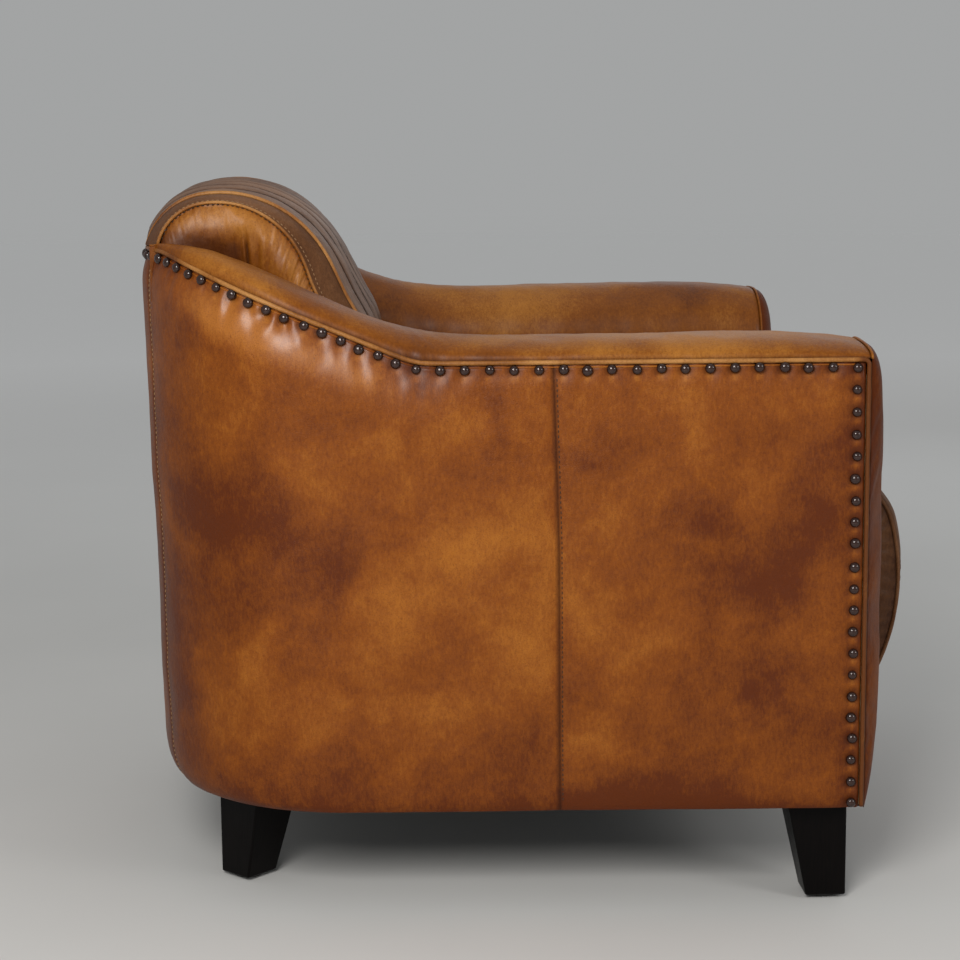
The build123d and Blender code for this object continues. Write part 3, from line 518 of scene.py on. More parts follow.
nailBronze, legLacquer = nailFinish(), lacquerFinish()
paleThread = threadFinish("waxedThread", (0.22, 0.110, 0.042), (0.36, 0.205, 0.095))
darkThread = threadFinish("darkThread", (0.020, 0.009, 0.003), (0.045, 0.019, 0.006))
nodeFinishes = {
    "hardwood": timberFinish("hardwood", (0.52, 0.36, 0.21), (0.40, 0.25, 0.13)),
    "plywood": timberFinish("plywood", (0.56, 0.42, 0.27), (0.44, 0.31, 0.18)),
    "fibreboard": timberFinish("fibreboard", (0.27, 0.18, 0.11), (0.20, 0.13, 0.08)),
    "hessian": clothFinish("hessian", (0.22, 0.15, 0.08), (0.42, 0.32, 0.19), 160.0),
    "webbing": clothFinish("webbing", (0.03, 0.027, 0.024), (0.10, 0.09, 0.08), 220.0),
    "dust_cloth": clothFinish("dustCloth", (0.006, 0.006, 0.006), (0.022, 0.021, 0.020), 260.0),
    "spring_steel": steelFinish("springSteel", (0.34, 0.34, 0.35), 0.35),
    "zinc_steel": steelFinish("zincSteel", (0.58, 0.58, 0.55), 0.3),
    "leg_lacquer": legLacquer,
    "glide_plastic": plasticFinish(),
}
for part in frame["record"]["subparts"]:
    finish = nodeFinishes.get(part["material_slot"])
    if finish:
        node = frame["nodes"][part["node"]]
        node.data.materials.clear()
        node.data.materials.append(finish)
print("carried-over nodes finished")


def settle(obj, slotName, *nodes, pad=None):
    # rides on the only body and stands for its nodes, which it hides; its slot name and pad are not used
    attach(obj, "root")
    if nodes:
        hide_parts(*nodes)


# how the leather behaves while it is filled
hide = dict(quality=5, mass=0.25, airDrag=2.0, stretch=18.0, shear=8.0, bend=0.6, damping=8.0)


def plump(name, pts, held, flip, fill):
    # cloth run on a copy of the grid: the held points stay, pressure fills the rest, and no point moves past the
    # cap; fill gives pressure, slack (share of extra leather), cap in mm and steps
    rows, cols = pts.shape[:2]
    obj = newMesh(name + "Fill", pts.reshape(-1, 3), gridFaces(rows, cols, False, flip), panelLeather)
    group = obj.vertex_groups.new(name="held")
    group.add(np.flatnonzero(held.ravel()).tolist(), 1.0, "REPLACE")
    cloth = obj.modifiers.new("Cloth", "CLOTH")
    rule = cloth.settings
    rule.quality, rule.mass, rule.air_damping = hide["quality"], hide["mass"], hide["airDrag"]
    rule.tension_stiffness = rule.compression_stiffness = hide["stretch"]
    rule.shear_stiffness, rule.bending_stiffness = hide["shear"], fill.get("bend", hide["bend"])
    rule.tension_damping = rule.compression_damping = rule.shear_damping = hide["damping"]
    rule.use_pressure, rule.uniform_pressure_force = True, fill["pressure"]
    rule.shrink_min = -fill["slack"]
    rule.vertex_group_mass = "held"
    rule.effector_weights.gravity = 0.0
    cloth.point_cache.frame_start, cloth.point_cache.frame_end = 1, fill["steps"]
    scene = bpy.context.scene
    for step in range(1, fill["steps"] + 1):
        scene.frame_set(step)
    swollen = obj.evaluated_get(bpy.context.evaluated_depsgraph_get()).data
    co = np.empty(rows * cols * 3, np.float32)
    swollen.vertices.foreach_get("co", co)
    moved = co.reshape(rows, cols, 3).astype(float) * 1000 - [0, depthShift, 0] - pts
    far = np.linalg.norm(moved, axis=-1, keepdims=True)
    print(name, "filled, moves up to %.1f mm, mean %.1f mm" % (far.max(), far.mean()))
    scene.frame_set(1)
    mesh = obj.data
    bpy.data.objects.remove(obj)
    bpy.data.meshes.remove(mesh)
    return pts + moved * np.minimum(1, fill["cap"] / np.maximum(far, 1e-6))


def heldRim(pts, rows, cols):
    # the outermost rows and columns of a grid
    held = np.zeros(pts.shape[:2], bool)
    held[:rows] = held[-rows:] = held[:, :cols] = held[:, -cols:] = True
    return held


# nail heads: a column down each arm front, a row below the welt, all round the rim
nails = dict(radius=5.5, height=4.5, shank=1.6, proud=0.4, pitch=25.4, climbPitch=21.3, column=23.6, drop=7.6,
             setback=12.0, lowest=118.5, turnY=398.0, topGuess=660.0, drawShare=0.87, stray=0.5, uneven=0.05,
             rings=6, around=16)


def nailSpots():
    # places and outward headings for the +X side and the back, at equal steps along the line
    columnY = tub["front"] + nails["setback"]
    top = armLine["seam"] - nails["drop"]
    count = int(round((top - nails["lowest"]) / nails["column"])) + 1
    columnZ = np.linspace(top, nails["lowest"], count)
    column = np.c_[points(sideX(columnY), columnY, columnZ), np.full(count, tub["flare"])]
    u = spans(600, 500, 300)
    z = seamZ(outline(u, nails["topGuess"])[1]) - nails["drop"]
    x, y, nx, ny = outline(u, z)
    run = pathRun(points(x, y, z))
    stops = [np.interp(k, y, run) for k in (columnY, armLine["kink"], nails["turnY"])] + [run[-1]]
    pitches = (nails["pitch"], nails["climbPitch"], nails["pitch"])
    legs = zip(stops, stops[1:], pitches)
    steps = [np.linspace(a, b, int(round((b - a) / pitch)) + 1)[1:] for a, b, pitch in legs]
    row = readOff(np.concatenate(steps), run, np.stack([x, y, z, np.arctan2(ny, nx)], -1))
    heading = np.stack([np.cos(row[:, 3]), np.sin(row[:, 3])], -1)
    row[:, :2] -= nails["drawShare"] * rimIn(row[:, 1])[:, None] * heading
    return np.concatenate([column, row])


nailHalf = nailSpots()
nailOther = nailHalf[np.abs(nailHalf[:, 0]) > 1.0] * [-1, 1, 1, 1]
nailOther[:, 3] = math.pi - nailOther[:, 3]
nailAll = np.concatenate([nailHalf, nailOther])
print("nail spots", len(nailAll))


def nailHollow(pts, depth, reach):
    # a round hollow at each nail, depth times e^(-d^2 / 2 reach^2); where two meet, the deeper one counts
    near = np.zeros(pts.shape[:-1])
    for spot in nailAll:
        near = np.maximum(near, np.exp(-((pts - spot[:3]) ** 2).sum(-1) / (2 * reach**2)))
    return near * depth


# outside panels: the plan line carried up from hem to welt, puffed, tucked under at the hem, drawn in at nails
outside = dict(step=3.6, height=500.0, runs=(700.0, 290.0, 180.0), topGuess=650.0, topGap=1.5, seamX=238.0,
               seamY=-21.0, seamSlant=5.0, slantHeight=190.0, slantReach=0.25, puff=2.2, puffReach=24.0,
               swell=9.0, swellY=(60.0, 190.0, 340.0, 400.0), swellTop=32.0, swellHold=60.0, swellFade=120.0,
               hemRoll=22.0, hemIn=3.5, seamDip=1.2, seamRoll=3.0, rimDip=2.0, rimRoll=4.0, drawReach=24.0,
               uneven=((0.7, 150.0, 3), (0.25, 46.0, 5)), pull=0.45, climbPull=1.7, pullSize=15.0, pullHold=10.0,
               pullFade=18.0, hollow=2.6, hollowReach=7.5, deepest=3.7, topDeepest=5.0)
# strength of each mark on the panels, with its reach; a place is a middle or a start, with its width
# besides patina, the marks paint shade (nailDark, backDark with patina, the creases) and highlights (spot, pale)
panelMarks = dict(rimDark=(0.12, 20.0), hemDark=(0.5, 26.0), seamDark=(0.25, 9.0), frontDark=0.45, frontReach=26.0,
                  nailDark=0.1, backDark=0.45, backFrom=1.25, backMost=0.8, seamCrease=0.8, seamCreaseReach=2.6,
                  nailCrease=0.35, nailCreaseDepth=1.7, worn=0.4, wornY=(70.0, 170.0), wornZ=(400.0, 190.0),
                  dull=0.12, hemDull=(0.25, 90.0), foreDull=0.42, foreTopDull=0.26, foreY=-10.0, foreZ=440.0,
                  foreReach=90.0, spot=1.1, spotReach=2.6, spotDrop=8.6, pale=0.75, paleDrop=(34.0, 18.0),
                  gleam=0.5, gleamDrop=(30.0, 24.0))
uSeam = flankShare(outside["seamY"])


def panelGrid(u0, u1, seamStart, seamEnd):
    # columns follow the plan line from u0 to u1, rows climb from hem to rim; the leather lifts off its seams by
    # 1 - e^(-d / reach) and swells below the climbing nails, and hem, seams, rim and nails draw it in;
    # it is dark at the hem, the seams and the front, dark round the back corner (patina and painted shade), pale
    # in the middle, with painted shade in the nail hollows and creases and painted highlights below the nails
    length = sum(run * (np.clip(u1, k, k + 1) - np.clip(u0, k, k + 1)) for k, run in enumerate(outside["runs"]))
    cols, rows = int(length / outside["step"]), int(outside["height"] / outside["step"])
    u = u0 + (u1 - u0) * np.linspace(0, 1, cols)
    yTop = outline(u, outside["topGuess"])[1]
    zTop = (seamZ(yTop) - outside["topGap"])[:, None]
    us, vs = onGrid(u, np.linspace(0, 1, rows))
    zs = tub["hem"] + vs * (zTop - tub["hem"])
    toTop, toHem = zTop - zs, zs - tub["hem"]
    slant = outside["seamSlant"] / flankSpan * unit(toTop / outside["slantHeight"])
    xs, ys, nx, ny = outline(us - slant * unit(1 - np.abs(us - uSeam) / outside["slantReach"]), zs)
    base = points(xs, ys, zs)
    along = pathRun(base[:, rows // 2])[:, None]
    toSeam = np.minimum(along if seamStart else np.inf, along[-1] - along if seamEnd else np.inf)
    rise0, rise1, fall0, fall1 = outside["swellY"]
    rising = unit((ys - rise0) / (rise1 - rise0)) * unit((fall1 - ys) / (fall1 - fall0))

    lift = -outside["hemIn"] * (1 - dome(toHem / outside["hemRoll"]))
    lift = lift + outside["puff"] * (1 - fade(np.minimum(toSeam, toTop), outside["puffReach"]))
    full = (1 - bell(toTop, outside["swellTop"])) * fadePast(toTop, outside["swellHold"], outside["swellFade"])
    lift = lift + outside["swell"] * rising * full
    lift = lift - outside["seamDip"] * unit(1 - toSeam / outside["seamRoll"]) ** 2
    lift = lift - outside["rimDip"] * unit(1 - toTop / outside["rimRoll"]) ** 2
    lift = lift + uneven(base, outside["uneven"]) - rimIn(yTop)[:, None] * bell(toTop, outside["drawReach"])
    pull = fadePast(toTop, outside["pullHold"], outside["pullFade"]) * unit(toTop / outside["pullHold"])
    pull = pull * (outside["pull"] + outside["climbPull"] * rising)
    lift = lift + pull * waves(base * [1, 1, 0.25], outside["pullSize"], 9)
    near = nailHollow(base, outside["hollow"], outside["hollowReach"])
    lift = np.maximum(lift - near, -outside["deepest"] - outside["topDeepest"] * unit((8 - toTop) / 4))

    look = panelMarks
    patinaAndShade = nearTo(toTop, look["rimDark"]) + nearTo(toHem, look["hemDark"]) + nearTo(toSeam, look["seamDark"])
    # painted shade: darker in the nail hollows, and round the back corner as it turns from the lamps (there with
    # patina)
    patinaAndShade = patinaAndShade + look["nailDark"] * near + look["backDark"] * np.clip(us - look["backFrom"], 0, look["backMost"])
    patinaAndShade = patinaAndShade + look["frontDark"] * fadePast(ys, tub["front"], look["frontReach"])
    # painted shade: near-black creases at the seams and in the nail hollows
    creaseShade = look["seamCrease"] * unit(1 - toSeam / look["seamCreaseReach"])
    creaseShade = creaseShade + look["nailCrease"] * unit(near / look["nailCreaseDepth"]) ** 4
    fore = unit((look["foreY"] - ys) / look["foreReach"])
    foreTop = fore * unit((zs - look["foreZ"]) / look["foreReach"])
    rubAndHighlight = look["worn"] * hill(ys, look["wornY"]) * hill(zs, look["wornZ"]) - look["dull"]
    rubAndHighlight = rubAndHighlight - look["foreDull"] * fore - look["foreTopDull"] * foreTop - nearTo(toHem, look["hemDull"])
    # painted highlight: a light spot just below each nail, where the puckered leather faces the lamp
    rubAndHighlight = rubAndHighlight + nailHollow(base + [0, 0, look["spotDrop"]], look["spot"], look["spotReach"])
    # painted highlight: a light band below the climbing nails, where the swell tilts up to the lamp
    rubAndHighlight = rubAndHighlight + look["pale"] * rising * hill(toTop, look["paleDrop"])
    gleam = look["gleam"] * rising * hill(toTop, look["gleamDrop"])
    marks = dict(patinaAndShade=np.clip(patinaAndShade, 0, 1.2), creaseShade=unit(creaseShade), rubAndHighlight=rubAndHighlight, gleam=gleam)
    uv = np.stack([np.broadcast_to(along, zs.shape), zs], -1) / 1000
    return base + points(nx, ny, 0.0) * lift[..., None], uv, marks


cornerX = cornerCentre(tub["midHeight"])[0]
seamTurn = math.acos((outside["seamX"] - cornerX) / tub["corner"])
uRear = 1 + (seamTurn - tub["flare"]) / (math.pi / 2 - tub["flare"])
frontGrid = panelGrid(flankShare(tub["front"] + 3.0), uSeam, False, True)
frontGrid[0][0] += [-3.0, 0, 0]  # the first column turns in under the welt
rearGrid = panelGrid(uSeam, uRear, True, True)
for side, mirror in sides:
    panel = gridPiece("outsideFront_" + side, frontGrid, panelLeather, mirror)
    settle(panel, "leather", "side_front_panel_" + side)
    panel = gridPiece("outsideRear_" + side, rearGrid, panelLeather, mirror)
    settle(panel, "leather", "side_rear_panel_" + side)
frontP, rearP = frontGrid[0], rearGrid[0]
backP, uv, marks = panelGrid(uRear, 3.0, True, False)
wholeUv = np.concatenate([uv, (uv[::-1] * [-1, 1] + [2 * uv[-1, 0, 0], 0])[1:]])
wholeMarks = {k: np.concatenate([m, m[::-1][1:]]) for k, m in marks.items()}
panel = gridPiece("outsideBack", (allRound(backP), wholeUv, wholeMarks), panelLeather)
settle(panel, "leather", "outside_back_panel")
print("outside panels made")

# arm covers: a section (welt, crest, roll, inside face) carried along the arm
armPad = dict(start=-353.0, end=405.0, step=4.0, foot=200.0, shortFrom=215.0, shortDrop=60.0,
              inset=1.2, weltGap=1.0, uneven=((0.7, 120.0, 21), (0.3, 38.0, 22)), pull=0.35, pullY=(118.0, 30.0),
              pullPitch=13.0, frontDip=1.6, weltDark=0.22, insideDark=0.45, frontDark=(0.2, 7.0),
              crestRubAndHighlight=0.3, crestV=(0.9, 0.5), gleam=0.16, gleamV=(1.66, 0.3))


def armSection(y, v):
    # v 0..1 rounded rise from the welt to the crest, 1..2 quarter circle over to the inside, 2..3 straight down
    seam, crest, drawn = seamZ(y), crestZ(y), rimIn(y)
    turn = np.clip((y - cornerCentre(seam)[1]) / tub["corner"], 0, 0.97)
    outX = outlineX(y + drawn * turn, seam) - drawn * np.sqrt(1 - turn**2) - armPad["inset"]
    roll = np.minimum(tub["roll"], 0.5 * np.maximum(outX - tub["inner"], 1.0))
    cx, start = tub["inner"] + roll, seam + armPad["weltGap"]
    up, over = unit(1 - v) * math.pi / 2, unit(v - 1) * math.pi / 2
    x = cx + (outX - cx) * np.sin(up) ** 0.92 - roll * np.sin(over)
    z = start + (crest - start) * np.cos(up) ** 0.8 - roll * (1 - np.cos(over))
    bottom = crest - roll
    short = np.maximum(armPad["foot"], bottom - armPad["shortDrop"])
    foot = np.where(y > armPad["shortFrom"], short, armPad["foot"])
    return x, z - unit(v - 2) * (bottom - foot)


def armGrid():
    # the section carried from the arm front to the back, slightly uneven, with small pulls over the kink
    length = armPad["end"] - armPad["start"]
    ys, vs = onGrid(np.linspace(armPad["start"], armPad["end"], int(length / armPad["step"])), spans(22, 20, 46))
    xs, zs = armSection(ys, vs)
    pts = points(xs, ys, zs)
    n = gridNormals(pts)
    n = -n if n[20, 21, 2] < 0 else n  # outwards: upwards on the crest
    fromFront = ys - armPad["start"]
    kinkNear = hill(ys, armPad["pullY"]) * unit(1.6 - vs)
    ripple = np.sin((ys + 0.35 * xs) * 2 * math.pi / armPad["pullPitch"] + 2 * waves(pts, 60.0, 25))
    pucker = np.exp(-vs * 6) * waves(pts * [1, 1, 0.3], 15.0, 23)
    lift = uneven(pts, armPad["uneven"]) + armPad["pull"] * (kinkNear * ripple + pucker)
    lift = lift * unit(fromFront / 10.0) - armPad["frontDip"] * unit(1 - fromFront / 3.0) ** 2
    patinaAndShade = armPad["weltDark"] * np.exp(-vs * 5.0) + armPad["insideDark"] * unit((vs - 1.7) / 1.3)
    patinaAndShade = patinaAndShade + nearTo(fromFront, armPad["frontDark"])
    # painted shade: near-black creases at the front edge and along the welt
    creaseShade = 0.5 * unit(1 - fromFront / 2.0) + 0.9 * unit(1 - vs / 0.07)
    # the crest is lighter, partly rubbed wear and partly a painted highlight; gleam waxes the inside roll
    rubAndHighlight, gleam = armPad["crestRubAndHighlight"] * hill(vs, armPad["crestV"]), armPad["gleam"] * hill(vs, armPad["gleamV"])
    marks = dict(patinaAndShade=patinaAndShade, rubAndHighlight=rubAndHighlight, creaseShade=creaseShade, gleam=gleam)
    return pts + n * lift[..., None], np.stack([ys, vs * 110], -1) / 1000, marks


grid = armGrid()
for side, mirror in sides:
    cover = gridPiece("armCover_" + side, grid, armLeather, mirror, flip=True)
    settle(cover, "leather", "arm_cover_" + side, "arm_foam_" + side, pad=0.8)
print("arm covers made")

# arm facings: a pillow whose bulge falls away to the seams and tucks under at the hem
facing = dict(seam=-353.0, bulge=20.5, rows=120, cols=44, topGap=0.6, topRoll=45.0, hemRoll=150.0,
              uneven=((0.6, 70.0, 31),), dark=0.72, seamDark=(0.35, 10.0), hemDark=(0.3, 60.0),
              fill=dict(pressure=3.0, slack=0.004, cap=5.0, steps=14))


def facingGrid():
    # across: inner seam to outer seam on cosine spacing; up: hem to the arm's top line;
    # bulge times a flattened half round across and a quarter ellipse at either end
    ss, ts = onGrid(cosSteps(facing["cols"]), cosSteps(facing["rows"]))
    lineX, lineZ = armSection(np.full(300, armPad["start"]), np.linspace(0, 2, 300))
    width = lineX[0] - tub["inner"]
    xs = tub["inner"] + ss * width
    top = np.interp(xs, lineX[::-1], lineZ[::-1]) - facing["topGap"]
    zs = tub["hem"] + ts * (top - tub["hem"])
    toTop, toHem = top - zs, zs - tub["hem"]
    across = np.sqrt(unit(1 - np.abs(2 * ss - 1) ** 2.3))
    upper, lower = dome(toTop / facing["topRoll"]), dome(toHem / facing["hemRoll"], 2.2)
    pts = points(xs, facing["seam"] - facing["bulge"] * across * upper * lower, zs)
    pts[..., 1] -= uneven(pts, facing["uneven"]) * across * upper
    gap = np.minimum(np.minimum(ss, 1 - ss) * width, np.minimum(toTop, toHem + 4))
    # painted shade: the whole facing is darkened as it faces away from the lamps, darker still towards its seams
    # and hem
    patinaAndShade = facing["dark"] + nearTo(gap, facing["seamDark"]) + nearTo(toHem, facing["hemDark"])
    return pts, np.stack([xs, zs], -1) / 1000, dict(patinaAndShade=patinaAndShade, rubAndHighlight=0 * patinaAndShade, creaseShade=0.5 * unit(1 - gap / 1.2))


pts, uv, marks = facingGrid()
pts = plump("armFacing", pts, heldRim(pts, 1, 1), False, facing["fill"])
for side, mirror in sides:
    pillow = gridPiece("armFacing_" + side, (pts, uv, marks), facingLeather, mirror)
    settle(pillow, "leather", "arm_facing_" + side, pad=0.8)
print("arm facings made")

# back cushion: channelled face, a welt at each side of it, a plain band and a gathered side pillow
backPad = dict(y=342.0, z=719.9, dome=48.8, frontArc=129.4, split=math.radians(82.0), lean=math.radians(11.0),
               endY=412.5, endZ=714.9, low=466.0, belly=19.5, bellyZ=610.0, bellyReach=(110.0, 46.0),
               ribs=8, pitch=51.75, ribRise=1.9, groove=1.4, crown=7.5, flat=2.4, frontCrown=10.5,
               pucker=0.5, puckerPitch=9.0, dive=0.14, grooveDark=(0.9, 7.0), creaseReach=4.4, ribRubAndHighlight=0.5,
               band=27.0, bandBow=2.4, bandFull=3.0, sideDrop=8.5, endDrop=16.0, frontDrop=29.0, welt=2.9,
               fill=dict(pressure=3.0, slack=0.002, cap=1.2, steps=10))


def backLine(t, topLift, frontLift, endIn=0.0):
    # side-view line of the back: t 0..1 up the leaning face, 1..2 front arc, 2..3 rear arc down to the rim;
    # the face bellies out by a bell curve over the height
    values = [np.asarray(k, float) for k in (t, topLift, frontLift, endIn)]
    t, topLift, frontLift, endIn = np.broadcast_arrays(*values)
    split, lean, low = backPad["split"], backPad["lean"], backPad["low"]
    ux, uz = math.cos(split), math.sin(split)
    ax, az = -math.cos(lean), math.sin(lean)
    square = ux * ax + uz * az
    ty = backPad["y"] + (backPad["dome"] + topLift) * ux
    tz = backPad["z"] + (backPad["dome"] + topLift) * uz
    r = backPad["frontArc"] + (frontLift - topLift * square) / (1 - square)
    cy, cz = ty - r * ux, tz - r * uz
    fy, fz = cy + r * ax, cz + r * az
    footY = fy - (fz - low) * math.tan(lean)
    angle = math.pi - lean + unit(t - 1) * (split - math.pi + lean)
    ey, ez = backPad["endY"] - endIn, backPad["endZ"]
    dy, dz = ty - ey, tz - ez
    rr = (dy**2 + dz**2) / (2 * (dy * ux + dz * uz))
    ry, rz = ty - rr * ux, tz - rr * uz
    rear = split + unit(t - 2) * (np.arctan2(ez - rz, ey - ry) - split)
    y = np.where(t <= 1, footY + unit(t) * (fy - footY), cy + r * np.cos(angle))
    z = np.where(t <= 1, low + unit(t) * (fz - low), cz + r * np.sin(angle))
    below, above = backPad["bellyReach"]
    y = y - backPad["belly"] * bell(z - backPad["bellyZ"], np.where(z < backPad["bellyZ"], below, above))
    return np.where(t > 2, ry + rr * np.cos(rear), y), np.where(t > 2, rz + rr * np.sin(rear), z)


def ribShape(f):
    # one padded channel across its width, 0 at the stitched grooves: a flattened half round
    return unit(1 - np.abs(2 * f - 1) ** 2.8) ** 0.6


def ribSteps(pad):
    # places across all the ribs, closer at the grooves, each place's share of its rib, and half the width
    half = pad["ribs"] * pad["pitch"] / 2
    f = cosSteps(15)[:-1]
    x = np.concatenate([(k + f) * pad["pitch"] for k in range(pad["ribs"])] + [[2 * half]]) - half
    return x, (((x + half) / pad["pitch"]) % 1.0)[:, None], half


backX, backShare, backHalf = ribSteps(backPad)
backT = spans(56, 60, 44)


def backChannelGrid():
    # the side line, fuller in front by frontCrown * (1 - x^2), raised along its own normal by a pillow crown
    # crown * (1 - |x|^2.6) and the ribs; everything dives into the rim seam at the end
    xs, ts = onGrid(backX, backT)
    rib = np.broadcast_to(ribShape(backShare), xs.shape)
    far = np.abs(xs) / backHalf
    ys, zs = backLine(ts, 0.0, backPad["frontCrown"] * (1 - far**2))
    dy, dz = np.gradient(ys, axis=1), np.gradient(zs, axis=1)
    dive = np.sqrt(unit((3.0 - ts) / backPad["dive"]))
    crown = backPad["crown"] - backPad["flat"] * bell(ts - 2.0, 0.3)
    base = points(xs, ys, zs)
    lift = crown * (1 - far**2.6) + backPad["ribRise"] * rib - backPad["groove"] * (1 - rib)
    ripple = np.sin(zs * 2 * math.pi / backPad["puckerPitch"] + ys * 0.5 + xs)
    lift = lift + backPad["pucker"] * ((1 - rib) * ripple + rib * waves(base * [0.6, 1, 1], 60.0, 41))
    pts = base + (dive * lift / np.hypot(dy, dz))[..., None] * points(0.0, -dz, dy)
    toGroove = np.minimum(backShare, 1 - backShare) * backPad["pitch"] + 0 * xs
    # painted shade: the grooves darkened and near black; the rib crests lighter, partly rubbed wear and partly a
    # painted highlight
    marks = dict(patinaAndShade=0.1 + nearTo(toGroove, backPad["grooveDark"]), rubAndHighlight=backPad["ribRubAndHighlight"] * rib - 0.1,
                 creaseShade=unit(1.35 - toGroove / backPad["creaseReach"]))
    return pts, np.stack([xs, ts * 150], -1) / 1000, marks


pts, uv, marks = backChannelGrid()
held = heldRim(pts, 1, 2) | (marks["creaseShade"] > 0.9)
pts = plump("backChannels", pts, held, True, backPad["fill"])
face = gridPiece("backChannels", (pts, uv, marks), ribLeather, flip=True)
settle(face, "leather", "back_cover", "back_foam", pad=0.85)

bandStart = backHalf + 2 * backPad["welt"]
bandEnd = bandStart + backPad["band"] + 0.4


def bandLifts(share):
    # how the band lies to the channels' line, on top and in front: it drops evenly outwards and bows between
    bow = backPad["bandBow"] * np.sin(share * math.pi) + backPad["bandFull"] * share * (1 - share)
    return bow * 0.7 - backPad["sideDrop"] * share, bow - backPad["frontDrop"] * share


def backBandGrid():
    # the back's line carried from the welt out to the side seam
    ss, ts = onGrid(cosSteps(16), backT)
    ys, zs = backLine(ts, *bandLifts(ss), backPad["endDrop"] * ss)
    pts = points(bandStart + ss * (bandEnd - bandStart), ys, zs)
    # darker towards both seams (patina and painted shade), near black in the seam creases as painted shade,
    # lighter across the middle
    patinaAndShade = 0.1 + 0.3 * fade(ss, 0.12) + 0.3 * fade(1 - ss, 0.12)
    creaseShade = 0.8 * unit(1 - np.minimum(ss, 1 - ss) / 0.05)
    marks = dict(patinaAndShade=patinaAndShade, rubAndHighlight=0.2 * np.sin(ss * math.pi), creaseShade=creaseShade)
    return pts, np.stack([ss * 34, ts * 150], -1) / 1000, marks


# each fold: place along Y, slant, width and depth
sidePad = dict(rows=64, cols=260, start=0.25, swell=8.5, crest=26.0, fall=10.0, fallReach=45.0, reach=252.0,
               footY=(230.0, 150.0), footZ=(588.0, 62.0), foldZ=700.0, foldFrom=20.0,
               fineSize=8.0, middleSize=26.0, middle=0.6, middleAt=(26.0, 24.0), uneven=((0.8, 46.0, 54),),
               # marks: darker at the seam, painted shade in the folds, low down and in the arm's shadow, and a
               # painted highlight near the top
               seamDark=(0.35, 4.0), foldDark=0.4, lowDark=0.4, shade=0.75, shadeY=292.0, shadeReach=12.0,
               rubAndHighlight=0.6, rubAt=(15.0, 13.0),
               fill=dict(pressure=2.0, slack=0.004, cap=2.0, steps=12, bend=2.0),
               folds=((300.0, 0.05, 1.9, 3.6), (313.0, 0.1, 5.0, 1.6), (289.0, -0.05, 4.0, 1.8),
                      (278.0, -0.1, 3.5, 1.4)))


def sideSwell(away):
    # how far out the side pillow stands, by the distance from its seam
    up = sidePad["swell"] * (1 - (np.minimum(away, sidePad["crest"]) / sidePad["crest"] - 1) ** 2)
    return bandEnd - 2.0 + up - sidePad["fall"] * unit((away - sidePad["crest"]) / sidePad["fallReach"]) ** 2


def backSideGrid():
    # pillow that swells out of the side seam to its crest and rolls back in below it, both by a square law;
    # gathers run in from the seam and fade, and a few long folds hang through the middle
    t = np.linspace(sidePad["start"], 3.0, sidePad["cols"])
    rs, ts = onGrid(np.linspace(0, 1, sidePad["rows"]) ** 1.25, t)
    y0, z0 = backLine(ts, -backPad["sideDrop"], -backPad["frontDrop"], backPad["endDrop"] + 2)
    q = (ts - sidePad["start"]) / (3.0 - sidePad["start"])
    footY, footZ = (first + more * q for first, more in (sidePad["footY"], sidePad["footZ"]))
    ys, zs = y0 + (footY - y0) * rs, z0 + (footZ - z0) * rs
    away = rs * np.hypot(footY - y0, footZ - z0)
    out = sideSwell(away)
    pts = points(out + (sidePad["reach"] - out) * smoothStep((rs - 0.66) / 0.26), ys, zs)

    run = pathRun(np.stack([y0[0], z0[0]], -1))[None]
    low = unit((1.7 - ts) / 0.7)
    fine = waves(points(run, 0.12 * away, 0.0), sidePad["fineSize"], 51, 20)
    fine = fine * fade(away, 13.0 + 26.0 * low) * (0.45 + 0.55 * low)
    middle = waves(points(run + 0.5 * away, 0.25 * away, 0.0), sidePad["middleSize"], 52, 16)
    middle = middle * hill(away, sidePad["middleAt"])
    hang = 0 * ys
    for place, slant, width, depth in sidePad["folds"]:
        off = (ys - slant * (zs - sidePad["foldZ"]) - place) / width
        hang = hang + depth * (bell(off, 1.0) - 0.6 * bell(off - 1.6, 1.0))
    hang = hang * unit((away - sidePad["foldFrom"]) / 22.0)
    begin = unit(away / 3.0)
    pts[..., 0] += begin * (fine + sidePad["middle"] * middle + uneven(pts, sidePad["uneven"])) - hang

    # painted shade: darker in the sunk folds, in the wrinkle troughs, low down where the pillow tucks in and in
    # the arm's shadow above its crest
    sunk = unit(hang / 3.0)
    aboveArm = np.maximum(zs - crestZ(ys) - 3, 0)
    shade = bell(aboveArm, sidePad["shadeReach"]) * unit((ys - sidePad["shadeY"]) / 22.0)
    patinaAndShade = nearTo(away, sidePad["seamDark"]) + sidePad["foldDark"] * sunk + 0.2 * unit(-fine)
    patinaAndShade = patinaAndShade + sidePad["lowDark"] * unit((away - 38) / 40) + sidePad["shade"] * shade
    creaseShade = 0.45 * unit(1 - away / 1.2) + 0.9 * unit(sunk - 0.4) + 0.3 * shade
    # painted highlight: a lighter band near the seam where the swell faces the lamp, and on the wrinkle crests
    rubAndHighlight = sidePad["rubAndHighlight"] * hill(away, sidePad["rubAt"]) + 0.25 * unit(fine) + 0.1
    return pts, np.stack([ys, zs], -1) / 1000, dict(patinaAndShade=patinaAndShade, rubAndHighlight=rubAndHighlight, creaseShade=creaseShade)


bandGrid = backBandGrid()
pts, uv, marks = backSideGrid()
pts = plump("backSide", pts, heldRim(pts, 2, 2), True, sidePad["fill"])
for side, mirror in sides:
    band = gridPiece("backBand_" + side, bandGrid, bandLeather, mirror, flip=True)
    settle(band, "leather_band", "back_band_" + side, pad=0.8)
    pillow = gridPiece("backSide_" + side, (pts, uv, marks), sideLeather, mirror, flip=True)
    settle(pillow, "leather", "back_side_" + side, pad=0.6)
print("back cushion made")

